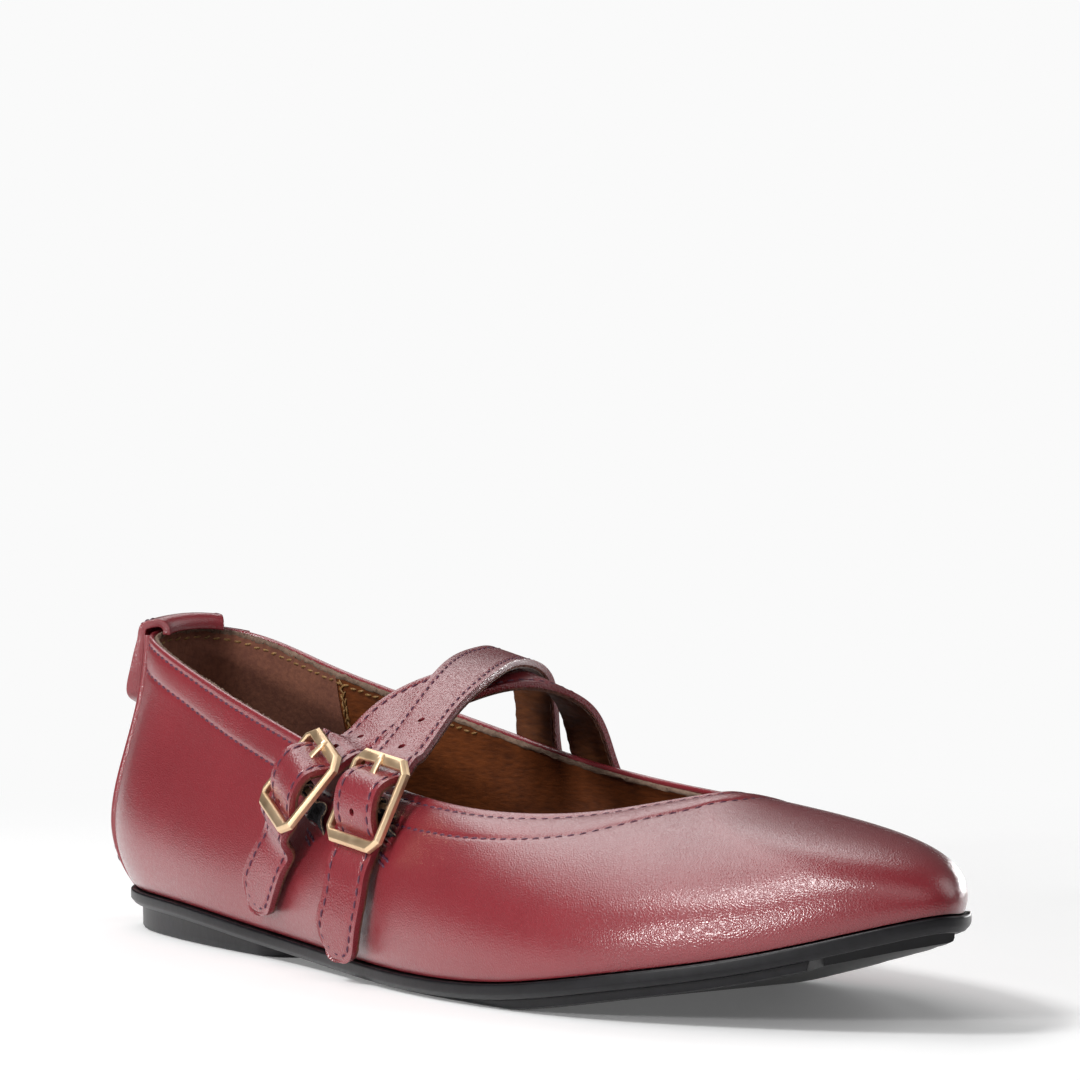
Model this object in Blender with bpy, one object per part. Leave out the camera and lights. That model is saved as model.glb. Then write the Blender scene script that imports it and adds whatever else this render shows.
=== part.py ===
"""Right-foot flat shoe with two crossing buckled straps, built piece by piece.

Lengths in the tables are millimetres; the meshes are made in metres.
+X runs from heel to toe, +Y to the inner (medial) side, +Z up, floor at Z = 0.
The tables count X from the back of the heel; the finished shoe is moved so that
the middle of its footprint is the origin.
"""
import math

import bmesh
import bpy
import numpy as np
from mathutils import Vector
from mathutils.bvhtree import BVHTree

MM = 0.001
FOOTPRINT_MIDDLE = np.array((123.4, -2.0, 0.0))
GAP = 0.3                   # clearance between pieces that meet
UPPER_WALL = 1.8            # leather and lining together
BACK_STRIP_RISE = 0.9       # step of the back strip above the quarters
SIDE_SEGMENTS = 40          # ring points from heel to toe, on each side
END_CROWDING = 0.6          # how much closer the ring points lie at heel and toe
WALL_ROWS = 13              # rows from the feather line to the topline

SOLE_TOP_DROP = 0.3         # sole's top below the upper's lower edge
BAND_HEIGHT = 2.9           # side band of the sole
BAND_OUT = 0.8              # how far the band stands outside the feather line
TREAD_INSET = 1.6           # tread and heel block inside the band
TREAD_ROUNDING = 0.8        # height of the tread's rounded edge
TREAD_FLAT_INSET = 12.0     # flat middle of the underside starts here
FOREFOOT_THICK = 5.2        # sole under the forefoot
WAIST_THICK = 3.6
TOE_THICK = 3.3
HEEL_BREAST_X = 81.0        # front of the heel block
HEEL_CORNER = 8.5           # radius of its front corners
TREAD_START_X = 118.0       # back of the forefoot tread
TREAD_END_X = 233.0         # front step of the forefoot tread

INSOLE_THICK = 2.6
INSOLE_INSET = 3.0

STRAP_WIDTH = 12.0
STRAP_THICK = 1.8
STRAP_TIP = 5.5             # length of the rounded end

FRAME_WIDTH = 16.9
FRAME_LENGTH = 18.4
FRAME_END_BAR = 2.3
FRAME_SIDE_BAR = 1.45
FRAME_THICK = 1.4
FRAME_BEVEL = 0.55
FRAME_CORNER = 2.4
WINDOW_CORNER = 0.5
CENTRE_BAR_RADIUS = 0.55
CENTRE_BAR_DROP = 0.7
PRONG_WIDTH = 1.7
PRONG_THICK = 0.6
KEEPER_WIDTH = 8.0
KEEPER_THICK = 0.7

# One row per section round the shoe: heel, outer side, toe, inner side.
# fx fy: feather line; tx ty tz: topline; rise bulge: lower handle of the wall's
# curve, up and out; reach drop: upper handle, out and down from the topline.
SECTIONS = (
    # fx,    fy,    tx,    ty,   tz,  rise, bulge, reach, drop
    (0.9,    0.0,   6.5,   0.0, 59.2, 15.0, 9.8,  0.5, 24.0),
    (5.8,  -10.9,   8.5,  -9.3, 58.4, 15.0, 10.3,  0.5, 24.0),
    (14.8, -17.4,  15.5, -14.0, 57.0, 15.5, 9.5,  0.8, 22.0),
    (32.0, -22.8,  33.5, -17.2, 52.6, 16.0, 6.6,  1.0, 18.5),
    (58.0, -26.7,  59.0, -20.4, 47.0, 14.8, 4.8,  1.5, 15.2),
    (85.0, -28.8,  84.5, -23.2, 42.0, 12.8, 4.8,  2.6, 12.2),
    (112.0, -33.2, 108.5, -26.2, 37.8, 11.3, 4.5,  4.2, 10.0),
    (140.0, -38.6, 133.0, -28.2, 34.8, 10.5, 3.5,  8.0, 7.4),
    (168.0, -40.3, 154.0, -25.6, 33.5, 10.2, 2.5, 14.4, 5.6),
    (195.0, -37.0, 169.5, -17.6, 34.2, 10.5, 2.0, 20.8, 5.7),
    (219.0, -26.6, 179.5,  -9.3, 36.3, 11.0, 1.6, 28.0, 6.0),
    (238.5, -13.6, 184.3,  -3.4, 37.6, 11.6, 1.3, 34.0, 6.6),
    (249.2,   0.8, 185.6,   1.6, 38.0, 12.0, 1.3, 36.5, 6.6),
    (243.4,   9.3, 182.8,   6.4, 37.3, 10.2, 1.4, 34.5, 6.2),
    (224.5,  22.1, 177.0,  12.4, 36.0,  9.0, 1.7, 29.0, 5.4),
    (198.0,  33.0, 166.0,  20.8, 34.5,  8.5, 1.8, 21.5, 5.8),
    (172.0,  34.8, 150.0,  27.8, 34.0, 10.3, 2.6, 13.0, 6.2),
    (142.0,  29.0, 129.0,  30.0, 34.8, 12.4, 4.8,  7.7, 8.2),
    (112.0,  24.2, 105.5,  28.2, 37.4, 13.1, 6.3,  4.9, 10.5),
    (85.0,   23.2,  82.5,  24.8, 41.8, 14.0, 6.0,  3.6, 12.9),
    (58.0,   24.2,  57.6,  21.0, 46.8, 15.4, 5.5,  2.3, 15.0),
    (32.0,   24.0,  32.5,  17.0, 52.3, 16.8, 5.4,  1.8, 18.2),
    (14.4,   18.6,  15.0,  13.8, 56.8, 16.0, 9.0,  1.0, 22.2),
    (5.6,    11.8,   8.4,   9.2, 58.4, 15.5, 9.8,  0.5, 24.0),
)
TOE_ROW = 12

# Height of the feather line above the floor.
FEATHER = (
    # x,    z
    (0.0,   8.0),
    (25.0,  8.1),
    (50.0,  7.5),
    (75.0,  5.8),
    (100.0, 4.5),
    (125.0, 3.9),
    (150.0, 3.9),
    (170.0, 4.8),
    (200.0, 8.9),
    (225.0, 13.7),
    (250.0, 21.3),
)

# How much higher the feather line runs on the inner side than on the outer.
INNER_LIFT = (
    # x,    lift
    (0.0,   0.0),
    (140.0, 0.0),
    (158.0, 0.7),
    (172.0, 1.6),
    (195.0, 3.5),
    (208.0, 4.0),
    (222.0, 4.0),
    (240.0, 2.5),
    (250.0, 0.0),
)
LIFT_START_Y = 10.0         # full lift from here inward

# Buckle frames: centre, direction across the strap, direction up the strap.
BUCKLES = {
    "front": {"centre": (124.2, -35.5, 33.8), "across": (0.993, 0.019, -0.120), "along": (0.103, 0.387, 0.916)},
    "rear": {"centre": (97.8, -33.05, 35.7), "across": (0.905, -0.245, -0.365), "along": (0.425, 0.451, 0.785)},
}

# Strap under and over the bars of its frame: place along the frame and height
# of the strap's outer face above the frame's middle plane.
BUCKLE_WAVE = (
    # along, height, shift
    (-8.8, -1.2,   0.0),
    (-7.4, -1.2,   0.0),
    (-6.7, -1.0,   0.0),
    (-5.9, -0.1,   0.0),
    (-4.6,  1.1,   0.0),
    (-3.0,  2.2,   0.0),
    (-1.2,  2.9,   0.0),
    (0.8,   3.3,   0.0),
    (2.6,   3.1,   0.0),
    (4.1,   2.2,   0.0),
    (5.1,   1.1,  -0.1),
    (6.0,  -0.2,  -0.1),
    (6.7,  -1.1,  -0.2),
    (7.6,  -1.55, -0.4),
    (8.5,  -1.95, -0.7),
    (9.4,  -2.5,  -1.1),
    (10.3, -3.3,  -1.6),
)

# Free end below the frame: place along the frame, shift across it, clearance
# of the strap's under face from the upper.
TAILS = {
    "front": (
        # along, shift, clear
        (-28.5, -2.6, 2.6),
        (-25.5, -0.4, 2.2),
        (-22.0,  1.1, 1.8),
        (-17.5,  1.6, 1.4),
        (-13.5,  0.9, 1.3),
    ),
    "rear": (
        # along, shift, clear
        (-27.4, -6.9, 1.9),
        (-24.2, -5.2, 1.6),
        (-20.8, -3.4, 1.3),
        (-17.0, -1.5, 1.3),
        (-13.2,  0.2, 1.8),
    ),
}

# Outer face of each strap from its frame across the foot to the inner side,
# with the turn and lean of its width in degrees.
ARCHES = {
    "front": (
        # x,     y,     z,    turn, lean
        (122.4, -26.2, 43.5,  0.7,  6.5),
        (118.6, -19.1, 48.0,  7.9, -0.3),
        (110.4,  -4.4, 55.3, 21.8,  3.0),
        (97.1,   14.1, 57.6, 26.0,  9.9),
        (91.6,   23.9, 54.6, 18.5, 17.5),
        (90.1,   27.3, 48.4,  4.9, 11.5),
        (88.6,   29.3, 38.3,  5.0, 11.0),
        (88.8,   30.9, 30.9,  5.5,  6.0),
        (89.0,   31.2, 25.8,  6.0,  4.0),
    ),
    "rear": (
        (100.1, -22.3, 42.8, -13.0, 12.0),
        (99.3,  -16.6, 45.6, -10.0, 11.2),
        (100.8,  -3.9, 51.5,  -6.3, 20.1),
        (103.3,   7.4, 54.2,  -4.7, 13.2),
        (103.8,  18.2, 53.1,  -0.9, 11.9),
        (104.5,  26.1, 48.2,   2.4, 11.5),
        (104.3,  30.6, 38.6,   5.5,  9.0),
        (104.6,  32.8, 31.0,   7.5,  5.0),
        (104.9,  33.2, 26.2,   8.0,  3.0),
    ),
}

# Heel tab: place on its way from the lining over the collar and down the back,
# measured at the middle of its thickness: down from the topline (minus is
# above), out from the upper's outer face at the middle of the tab and at its
# sides, the share of its width that it has there, and its thickness.
TAB_REACH_OUTER = 0.76      # shares of the back strip that the tab covers
TAB_REACH_INNER = 0.52
TAB_COLUMNS = 11
TAB_PATH = (
    # down, middle, side, spread, thick
    (0.6,  -3.2,  -3.2,  1.00, 1.6),
    (-0.7, -3.05, -3.05, 1.00, 1.6),
    (-1.6, -2.1,  -2.1,  1.00, 1.6),
    (-1.7, -0.7,  -0.7,  1.00, 1.6),
    (-1.0,  0.7,  0.7, 1.00, 1.6),
    (1.0,   1.2,  1.2, 1.00, 1.6),
    (4.0,   1.55, 1.55, 1.00, 2.1),
    (8.0,   1.8,  1.8, 1.00, 2.6),
    (11.0,  1.95, 1.95, 0.97, 2.9),
    (13.5,  1.75, 1.75, 0.88, 2.4),
    (15.4,  1.2,  1.2, 0.62, 1.3),
)

COLOURS = {
    "leather": ((0.26, 0.030, 0.042, 1.0), 0.0, 0.42),
    "lining": ((0.11, 0.036, 0.018, 1.0), 0.0, 0.80),
    "rubber": ((0.013, 0.013, 0.016, 1.0), 0.0, 0.45),
    "gold": ((0.72, 0.53, 0.33, 1.0), 1.0, 0.25),
    "elastic": ((0.015, 0.014, 0.016, 1.0), 0.0, 0.90),
}


def clear_scene():
    for item in list(bpy.data.objects):
        bpy.data.objects.remove(item, do_unlink=True)


def new_collection(name):
    collection = bpy.data.collections.new(name)
    bpy.context.scene.collection.children.link(collection)
    return collection


def material(node_name, kind):
    colour, metallic, roughness = COLOURS[kind]
    finish = bpy.data.materials.new(node_name)
    finish.use_nodes = True
    shader = finish.node_tree.nodes["Principled BSDF"]
    shader.inputs["Base Color"].default_value = colour
    shader.inputs["Metallic"].default_value = metallic
    shader.inputs["Roughness"].default_value = roughness
    return finish


def solid(name, points, faces, kind, collection):
    """A closed mesh object from points in millimetres, faces turned outward."""
    places = (np.asarray(points) - FOOTPRINT_MIDDLE) * MM
    mesh = bpy.data.meshes.new(name)
    mesh.from_pydata(places.tolist(), [], [tuple(f) for f in faces])
    body = bmesh.new()
    body.from_mesh(mesh)
    bmesh.ops.remove_doubles(body, verts=body.verts, dist=0.00002)
    bmesh.ops.recalc_face_normals(body, faces=body.faces)
    body.to_mesh(mesh)
    body.free()
    item = bpy.data.objects.new(name, mesh)
    collection.objects.link(item)
    mesh.materials.append(material(name, kind))
    mesh.shade_smooth()
    mesh.set_sharp_from_angle(angle=math.radians(35))
    return item


def apply_boolean(item, other, operation):
    step = item.modifiers.new(operation.lower(), "BOOLEAN")
    step.operation = operation
    step.object = other
    step.solver = "EXACT"
    graph = bpy.context.evaluated_depsgraph_get()
    result = bpy.data.meshes.new_from_object(item.evaluated_get(graph))
    item.modifiers.clear()
    old = item.data
    item.data = result
    bpy.data.meshes.remove(old)
    item.data.shade_smooth()
    item.data.set_sharp_from_angle(angle=math.radians(35))


def unit(vectors):
    vectors = np.asarray(vectors, float)
    return vectors / np.linalg.norm(vectors, axis=-1, keepdims=True)


def curve_slopes(knots, rows, closed):
    """Second derivatives of the cubic curve through rows at the knots."""
    count = len(rows)
    steps = np.diff(knots)
    system = np.zeros((count, count))
    right = np.zeros(rows.shape)
    if not closed:
        system[0, 0] = system[-1, -1] = 1.0
    for i in range(0 if closed else 1, count if closed else count - 1):
        before, after = (i - 1) % count, (i + 1) % count
        system[i, before] += steps[i - 1]
        system[i, i] += 2.0 * (steps[i - 1] + steps[i])
        system[i, after] += steps[i]
        right[i] = 6.0 * ((rows[after] - rows[i]) / steps[i] - (rows[i] - rows[before]) / steps[i - 1])
    return np.linalg.solve(system, right)


def curve_at(knots, rows, places, closed=False):
    """Smooth curve through rows (one per knot) read at the places."""
    rows = np.asarray(rows, float)
    slopes = curve_slopes(knots, rows, closed)
    places = np.clip(np.asarray(places, float), knots[0], knots[-1])
    index = np.clip(np.searchsorted(knots, places, side="right") - 1, 0, len(knots) - 2)
    after = (index + 1) % len(rows)
    step = (knots[index + 1] - knots[index])[:, None]
    ahead = (places - knots[index])[:, None]
    left = step - ahead
    curved = (slopes[index] * left ** 3 + slopes[after] * ahead ** 3) / (6.0 * step)
    near = (rows[index] / step - slopes[index] * step / 6.0) * left
    far = (rows[after] / step - slopes[after] * step / 6.0) * ahead
    return curved + near + far


def feather_height(x, y):
    table = np.array(FEATHER)
    lift = np.array(INNER_LIFT)
    share = np.clip(np.asarray(y) / LIFT_START_Y, 0.0, 1.0)
    level = curve_at(table[:, 0], table[:, 1:], np.atleast_1d(x))[:, 0]
    return level + share * np.interp(x, lift[:, 0], lift[:, 1])


SECTION_TABLE = np.array(SECTIONS)


def section_knots():
    ahead = np.roll(SECTION_TABLE, -1, axis=0) - SECTION_TABLE
    steps = np.hypot(ahead[:, 0], ahead[:, 1]) + 0.5 * np.hypot(ahead[:, 2], ahead[:, 3])
    return np.concatenate([[0.0], np.cumsum(steps)])


KNOTS = section_knots()


def section_at(places):
    return curve_at(KNOTS, SECTION_TABLE, places, closed=True)


def place_where_x(x, side):
    """Place on the ring where the feather line passes x, on one side."""
    low, high = (0.0, KNOTS[TOE_ROW]) if side < 0 else (KNOTS[-1], KNOTS[TOE_ROW])
    for _ in range(40):
        middle = 0.5 * (low + high)
        if section_at([middle])[0, 0] < x:
            low = middle
        else:
            high = middle
    return 0.5 * (low + high)


def ring_places(segments, steps_at=()):
    """Ring places, alike in number on both sides, doubled where a step falls."""
    toe, end = KNOTS[TOE_ROW], KNOTS[-1]
    share = np.linspace(0.0, 1.0, segments + 1)
    share = share - END_CROWDING * np.sin(2.0 * math.pi * share) / (2.0 * math.pi)
    outer = list(toe * share)
    inner = list(end + (toe - end) * share)
    for low, high in steps_at:
        for side in (outer, inner):
            place = low if side is outer else high
            nearest = min(range(1, segments), key=lambda k: abs(side[k] - place))
            way = 1.0 if side is outer else -1.0
            side[nearest] = place - 0.3 * way
            side.insert(nearest + 1, place + 0.3 * way)
    return np.array(outer + inner[-2:0:-1])


def outward(points):
    """Outward directions in plan of a closed ring of points."""
    ahead = np.roll(points[:, :2], -1, axis=0) - np.roll(points[:, :2], 1, axis=0)
    flat = unit(np.stack([ahead[:, 1], -ahead[:, 0]], axis=-1))
    spine = np.stack([np.clip(points[:, 0], 30.0, 180.0), np.zeros(len(points))], axis=-1)
    way = np.sign(((points[:, :2] - spine) * flat).sum(axis=1).sum())
    return np.concatenate([way * flat, np.zeros((len(points), 1))], axis=1)


def wall_points(places, heights):
    """Outer face of the upper: rows from the feather line up to the topline."""
    table = section_at(places)
    fx, fy, tx, ty, tz, rise, bulge, reach, drop = table.T
    feather = np.stack([fx, fy, feather_height(fx, fy)], axis=-1)
    top = np.stack([tx, ty, tz], axis=-1)
    up = np.array([0.0, 0.0, 1.0])
    low = feather + rise[:, None] * up + bulge[:, None] * outward(feather)
    high = top + reach[:, None] * outward(top) - drop[:, None] * up
    v = np.asarray(heights, float)[:, None, None]
    u = 1.0 - v
    return u ** 3 * feather + 3 * u ** 2 * v * low + 3 * u * v ** 2 * high + v ** 3 * top


def wall_normals(grid):
    """Outward normals of the wall's grid (rows by ring)."""
    along = np.roll(grid, -1, axis=1) - np.roll(grid, 1, axis=1)
    rising = np.gradient(grid, axis=0)
    normal = unit(np.cross(along, rising))
    way = np.sign((normal[0] * outward(grid[0])).sum())
    return way * normal


def strip_edges():
    """Ring places of the back strip's two edges."""
    outer = 0.5 * (KNOTS[1] + KNOTS[2])
    inner = 0.5 * (KNOTS[-2] + KNOTS[-3])
    return outer, inner


def ring_faces(count, rows, start=0):
    faces = []
    for r in range(rows - 1):
        for k in range(count):
            a = start + r * count + k
            b = start + r * count + (k + 1) % count
            faces.append((a, b, b + count, a + count))
    return faces


def make_upper(collection):
    places = ring_places(SIDE_SEGMENTS, [strip_edges()])
    heights = np.linspace(0.0, 1.0, WALL_ROWS)
    outer = wall_points(places, heights)
    normal = wall_normals(outer)
    inner = outer - UPPER_WALL * normal
    inner[0] = outer[0] - UPPER_WALL * outward(outer[0])
    low_edge, high_edge = strip_edges()
    on_strip = (places < low_edge) | (places > high_edge)
    rise = BACK_STRIP_RISE * (0.3 + 0.7 * np.clip(heights * 4.0, 0.0, 1.0))
    outer = outer + rise[:, None, None] * on_strip[None, :, None] * normal
    outer[0, :, 2] = inner[0, :, 2]
    count = len(places)
    points = np.concatenate([outer.reshape(-1, 3), inner[::-1].reshape(-1, 3)])
    faces = ring_faces(count, 2 * WALL_ROWS)
    last = (2 * WALL_ROWS - 1) * count
    for k in range(count):
        after = (k + 1) % count
        faces.append((last + k, last + after, after, k))
    return solid("upper", points, faces, "leather", collection)


def sole_bottom(x, y):
    """Height of the sole's underside above the floor."""
    feather = feather_height(x, y)
    hollow = np.maximum(feather - WAIST_THICK, 0.0)
    forefoot = np.maximum(feather - FOREFOOT_THICK, 0.0)
    height = np.where(x < HEEL_BREAST_X, 0.0, np.where(x < TREAD_START_X, hollow, forefoot))
    return np.where(x > TREAD_END_X, feather - TOE_THICK, height)


def heel_corner(places):
    """How far the heel block's rounded front corners draw in from its sides."""
    x = section_at(places)[:, 0]
    run = np.clip((x - HEEL_BREAST_X + HEEL_CORNER) / HEEL_CORNER, 0.0, 1.0)
    return np.where(x < HEEL_BREAST_X, HEEL_CORNER * (1.0 - np.sqrt(1.0 - run ** 2)), 0.0)


def cap_faces(count, start):
    """Strips across a ring between its outer and inner sides."""
    half = count // 2
    faces = [(start, start + 1, start + count - 1)]
    for k in range(1, half - 1):
        faces.append((start + k, start + k + 1, start + count - k - 1, start + count - k))
    faces.append((start + half - 1, start + half, start + half + 1))
    return faces


def stacked_rings(rings):
    """Points and faces of a closed body from rings of equal count."""
    count = len(rings[0])
    points = np.concatenate(rings)
    faces = ring_faces(count, len(rings))
    return points, faces + cap_faces(count, 0) + cap_faces(count, count * (len(rings) - 1))


def feather_ring(places, out, heights_over):
    """Ring beside the feather line; heights_over(x, y) gives its height."""
    table = section_at(places)
    ring = np.stack([table[:, 0], table[:, 1], np.zeros(len(places))], axis=-1)
    ring = ring + np.reshape(out, (-1, 1)) * outward(ring)
    ring[:, 2] = heights_over(table[:, 0], table[:, 1])
    return ring


def make_outsole(collection):
    stops = [(place_where_x(x, -1), place_where_x(x, 1)) for x in (HEEL_BREAST_X, TREAD_END_X)]
    places = ring_places(SIDE_SEGMENTS, stops)
    corner = heel_corner(places)

    def top(x, y):
        return feather_height(x, y) - SOLE_TOP_DROP

    def under_band(x, y):
        return top(x, y) - BAND_HEIGHT

    def tread_edge(x, y):
        rounding = np.where(x < HEEL_BREAST_X, 0.4, TREAD_ROUNDING)
        return np.minimum(sole_bottom(x, y) + rounding, under_band(x, y) - 0.15)

    def tread_middle(x, y):
        return 0.5 * (sole_bottom(x, y) + sole_bottom(x, 0.0 * y))

    rings = [
        feather_ring(places, BAND_OUT - 0.5, top),
        feather_ring(places, BAND_OUT, lambda x, y: top(x, y) - 0.4),
        feather_ring(places, BAND_OUT, lambda x, y: under_band(x, y) + 0.9),
        feather_ring(places, BAND_OUT - 0.9, under_band),
        feather_ring(places, -TREAD_INSET + 0.4 - corner, lambda x, y: under_band(x, y) - 0.1),
        feather_ring(places, -TREAD_INSET - corner, tread_edge),
        feather_ring(places, -TREAD_INSET - 1.0 - corner, sole_bottom),
        feather_ring(places, -TREAD_FLAT_INSET, tread_middle),
    ]
    points, faces = stacked_rings(rings)
    return solid("outsole", points, faces, "rubber", collection)


def make_insole(collection):
    places = ring_places(SIDE_SEGMENTS)
    rings = [
        feather_ring(places, -INSOLE_INSET, lambda x, y: feather_height(x, y) + INSOLE_THICK),
        feather_ring(places, -INSOLE_INSET, feather_height),
    ]
    points, faces = stacked_rings(rings)
    return solid("insole", points, faces, "lining", collection)


def outer_tree():
    """The upper's outer face, for seating what lies on it."""
    places = ring_places(2 * SIDE_SEGMENTS)
    grid = wall_points(places, np.linspace(0.0, 1.0, 2 * WALL_ROWS))
    skirt = grid[:1] - np.array([0.0, 0.0, 10.0])
    grid = np.concatenate([skirt, grid])
    faces = ring_faces(len(places), len(grid))
    return BVHTree.FromPolygons([Vector(p) for p in grid.reshape(-1, 3)], faces)


def frame_axes(place):
    spec = BUCKLES[place]
    across = unit(spec["across"])
    along = np.array(spec["along"])
    along = unit(along - across * (along @ across))
    return np.array(spec["centre"]), across, along, np.cross(across, along)


def in_frame(place, across, along, height):
    centre, side, up, out = frame_axes(place)
    return centre + across * side + along * up + height * out


def height_of_upper(place, across, along, tree):
    """Height of the upper's face in a frame's own axes, below the frame."""
    _, _, _, out = frame_axes(place)
    start = in_frame(place, across, along, 20.0)
    hit, _, _, distance = tree.ray_cast(Vector(start), Vector(-out))
    return 20.0 - distance


def strap_stations(place, tree):
    """Outer-face centre and width direction of a strap, tip to inner side."""
    _, across, _, _ = frame_axes(place)
    centres = []
    sides = []
    for along, shift, clear in TAILS[place]:
        face = max(height_of_upper(place, shift + edge, along, tree) for edge in (-6.0, 0.0, 6.0))
        centres.append(in_frame(place, shift, along, face + clear + STRAP_THICK))
        sides.append(across)
    for along, height, shift in BUCKLE_WAVE:
        centres.append(in_frame(place, shift, along, height))
        sides.append(across)
    for x, y, z, turn, lean in ARCHES[place]:
        a, b = math.radians(turn), math.radians(lean)
        centres.append(np.array((x, y, z)))
        sides.append(np.array((math.cos(a) * math.cos(b), math.sin(a) * math.cos(b), -math.sin(b))))
    return np.array(centres), np.array(sides)


def ribbon(centres, sides, widths, thick):
    """Points and faces of a strip whose outer face runs through the centres."""
    ahead = unit(np.gradient(centres, axis=0))
    sides = unit(sides - ahead * (sides * ahead).sum(axis=1, keepdims=True))
    out = np.cross(sides, ahead)
    half = 0.5 * np.asarray(widths)[:, None]
    edge = 0.35
    corners = (
        centres - (half - edge) * sides,
        centres + (half - edge) * sides,
        centres + half * sides - edge * out,
        centres + half * sides - thick * out,
        centres - half * sides - thick * out,
        centres - half * sides - edge * out,
    )
    points = np.stack(corners, axis=1).reshape(-1, 3)
    sections = len(centres)
    faces = ring_faces(len(corners), sections)
    faces.append(tuple(range(len(corners))))
    faces.append(tuple(range((sections - 1) * len(corners), sections * len(corners))))
    return points, faces


def smooth_path(rows, step):
    """Evenly read the smooth curve through rows; first three columns are a place."""
    rows = np.asarray(rows, float)
    lengths = np.linalg.norm(np.diff(rows[:, :3], axis=0), axis=1)
    knots = np.concatenate([[0.0], np.cumsum(lengths)])
    places = np.linspace(0.0, knots[-1], int(round(knots[-1] / step)) + 1)
    return curve_at(knots, rows, places), places


def make_strap(name, place, tree, collection):
    centres, sides = strap_stations(place, tree)
    path, lengths = smooth_path(np.hstack([centres, sides]), 2.0)
    from_tip = np.clip(lengths / STRAP_TIP, 0.0, 1.0)
    widths = STRAP_WIDTH * np.sqrt(np.clip(1.0 - (1.0 - from_tip) ** 2.2, 0.03, 1.0))
    points, faces = ribbon(path[:, :3], path[:, 3:], widths, STRAP_THICK)
    return solid(name, points, faces, "leather", collection)


def octagon(width, length, corner):
    x, y = 0.5 * width, 0.5 * length
    return ((x, y - corner), (x - corner, y), (-x + corner, y), (-x, y - corner),
            (-x, -y + corner), (-x + corner, -y), (x - corner, -y), (x, -y + corner))


def make_frame(name, place, collection, cutters):
    """Flat eight-sided frame with bevelled edges and a round centre bar."""
    half = 0.5 * FRAME_THICK
    window = (FRAME_WIDTH - 2.0 * FRAME_SIDE_BAR, FRAME_LENGTH - 2.0 * FRAME_END_BAR)
    bevel = FRAME_BEVEL
    profile = (
        # inset of the outline, window or outside, height
        (0.0, False, -half),
        (0.0, False, half - bevel),
        (bevel, False, half),
        (bevel, True, half),
        (0.0, True, half - bevel),
        (0.0, True, -half),
    )
    points = []
    for inset, inside, height in profile:
        if inside:
            outline = octagon(window[0] + 2 * inset, window[1] + 2 * inset, WINDOW_CORNER)
        else:
            outline = octagon(FRAME_WIDTH - 2 * inset, FRAME_LENGTH - 2 * inset, FRAME_CORNER)
        points.extend(in_frame(place, x, y, height) for x, y in outline)
    faces = ring_faces(8, len(profile))
    last = 8 * (len(profile) - 1)
    faces.extend((last + k, last + (k + 1) % 8, (k + 1) % 8, k) for k in range(8))
    frame = solid(name, points, faces, "gold", collection)
    bar_points = []
    reach = 0.5 * window[0] + 0.5 * FRAME_SIDE_BAR
    for x in (-reach, reach):
        for k in range(10):
            angle = 2.0 * math.pi * k / 10
            along = CENTRE_BAR_RADIUS * math.cos(angle)
            height = CENTRE_BAR_RADIUS * math.sin(angle) - CENTRE_BAR_DROP
            bar_points.append(in_frame(place, x, along, height))
    bar_faces = ring_faces(10, 2) + [tuple(range(10)), tuple(range(10, 20))]
    bar = solid(name + "_bar", bar_points, bar_faces, "gold", cutters)
    apply_boolean(frame, bar, "UNION")
    return frame


def hook_route(radius, start, end, count):
    """Places (along, height) round the centre bar between two angles."""
    angles = np.radians(np.linspace(start, end, count))
    return [(radius * math.cos(a), radius * math.sin(a) - CENTRE_BAR_DROP) for a in angles]


def make_prong(name, place, collection, grow=0.0):
    """Tongue of the buckle: hooked round the centre bar, resting on the top bar."""
    radius = CENTRE_BAR_RADIUS + GAP + 0.5 * PRONG_THICK
    route = hook_route(radius, -30.0, -255.0, 10)
    route += [(1.6, 0.85), (4.0, 1.15), (6.4, 1.3), (8.3, 1.3)]
    route = np.array(route)
    _, across, up, out = frame_axes(place)
    centres = np.array([in_frame(place, 0.0, along, height) for along, height in route])
    ahead = unit(np.gradient(centres, axis=0))
    over = np.cross(across, ahead)
    centres = centres + (0.5 * PRONG_THICK + grow) * over
    if grow:
        centres = centres[10:-1]
    sides = np.tile(across, (len(centres), 1))
    widths = np.full(len(centres), PRONG_WIDTH + 2.0 * grow)
    widths[-1] *= 0.7 if not grow else 1.0
    points, faces = ribbon(centres, sides, widths, PRONG_THICK + 2.0 * grow)
    return solid(name, points, faces, "gold", collection)


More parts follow.
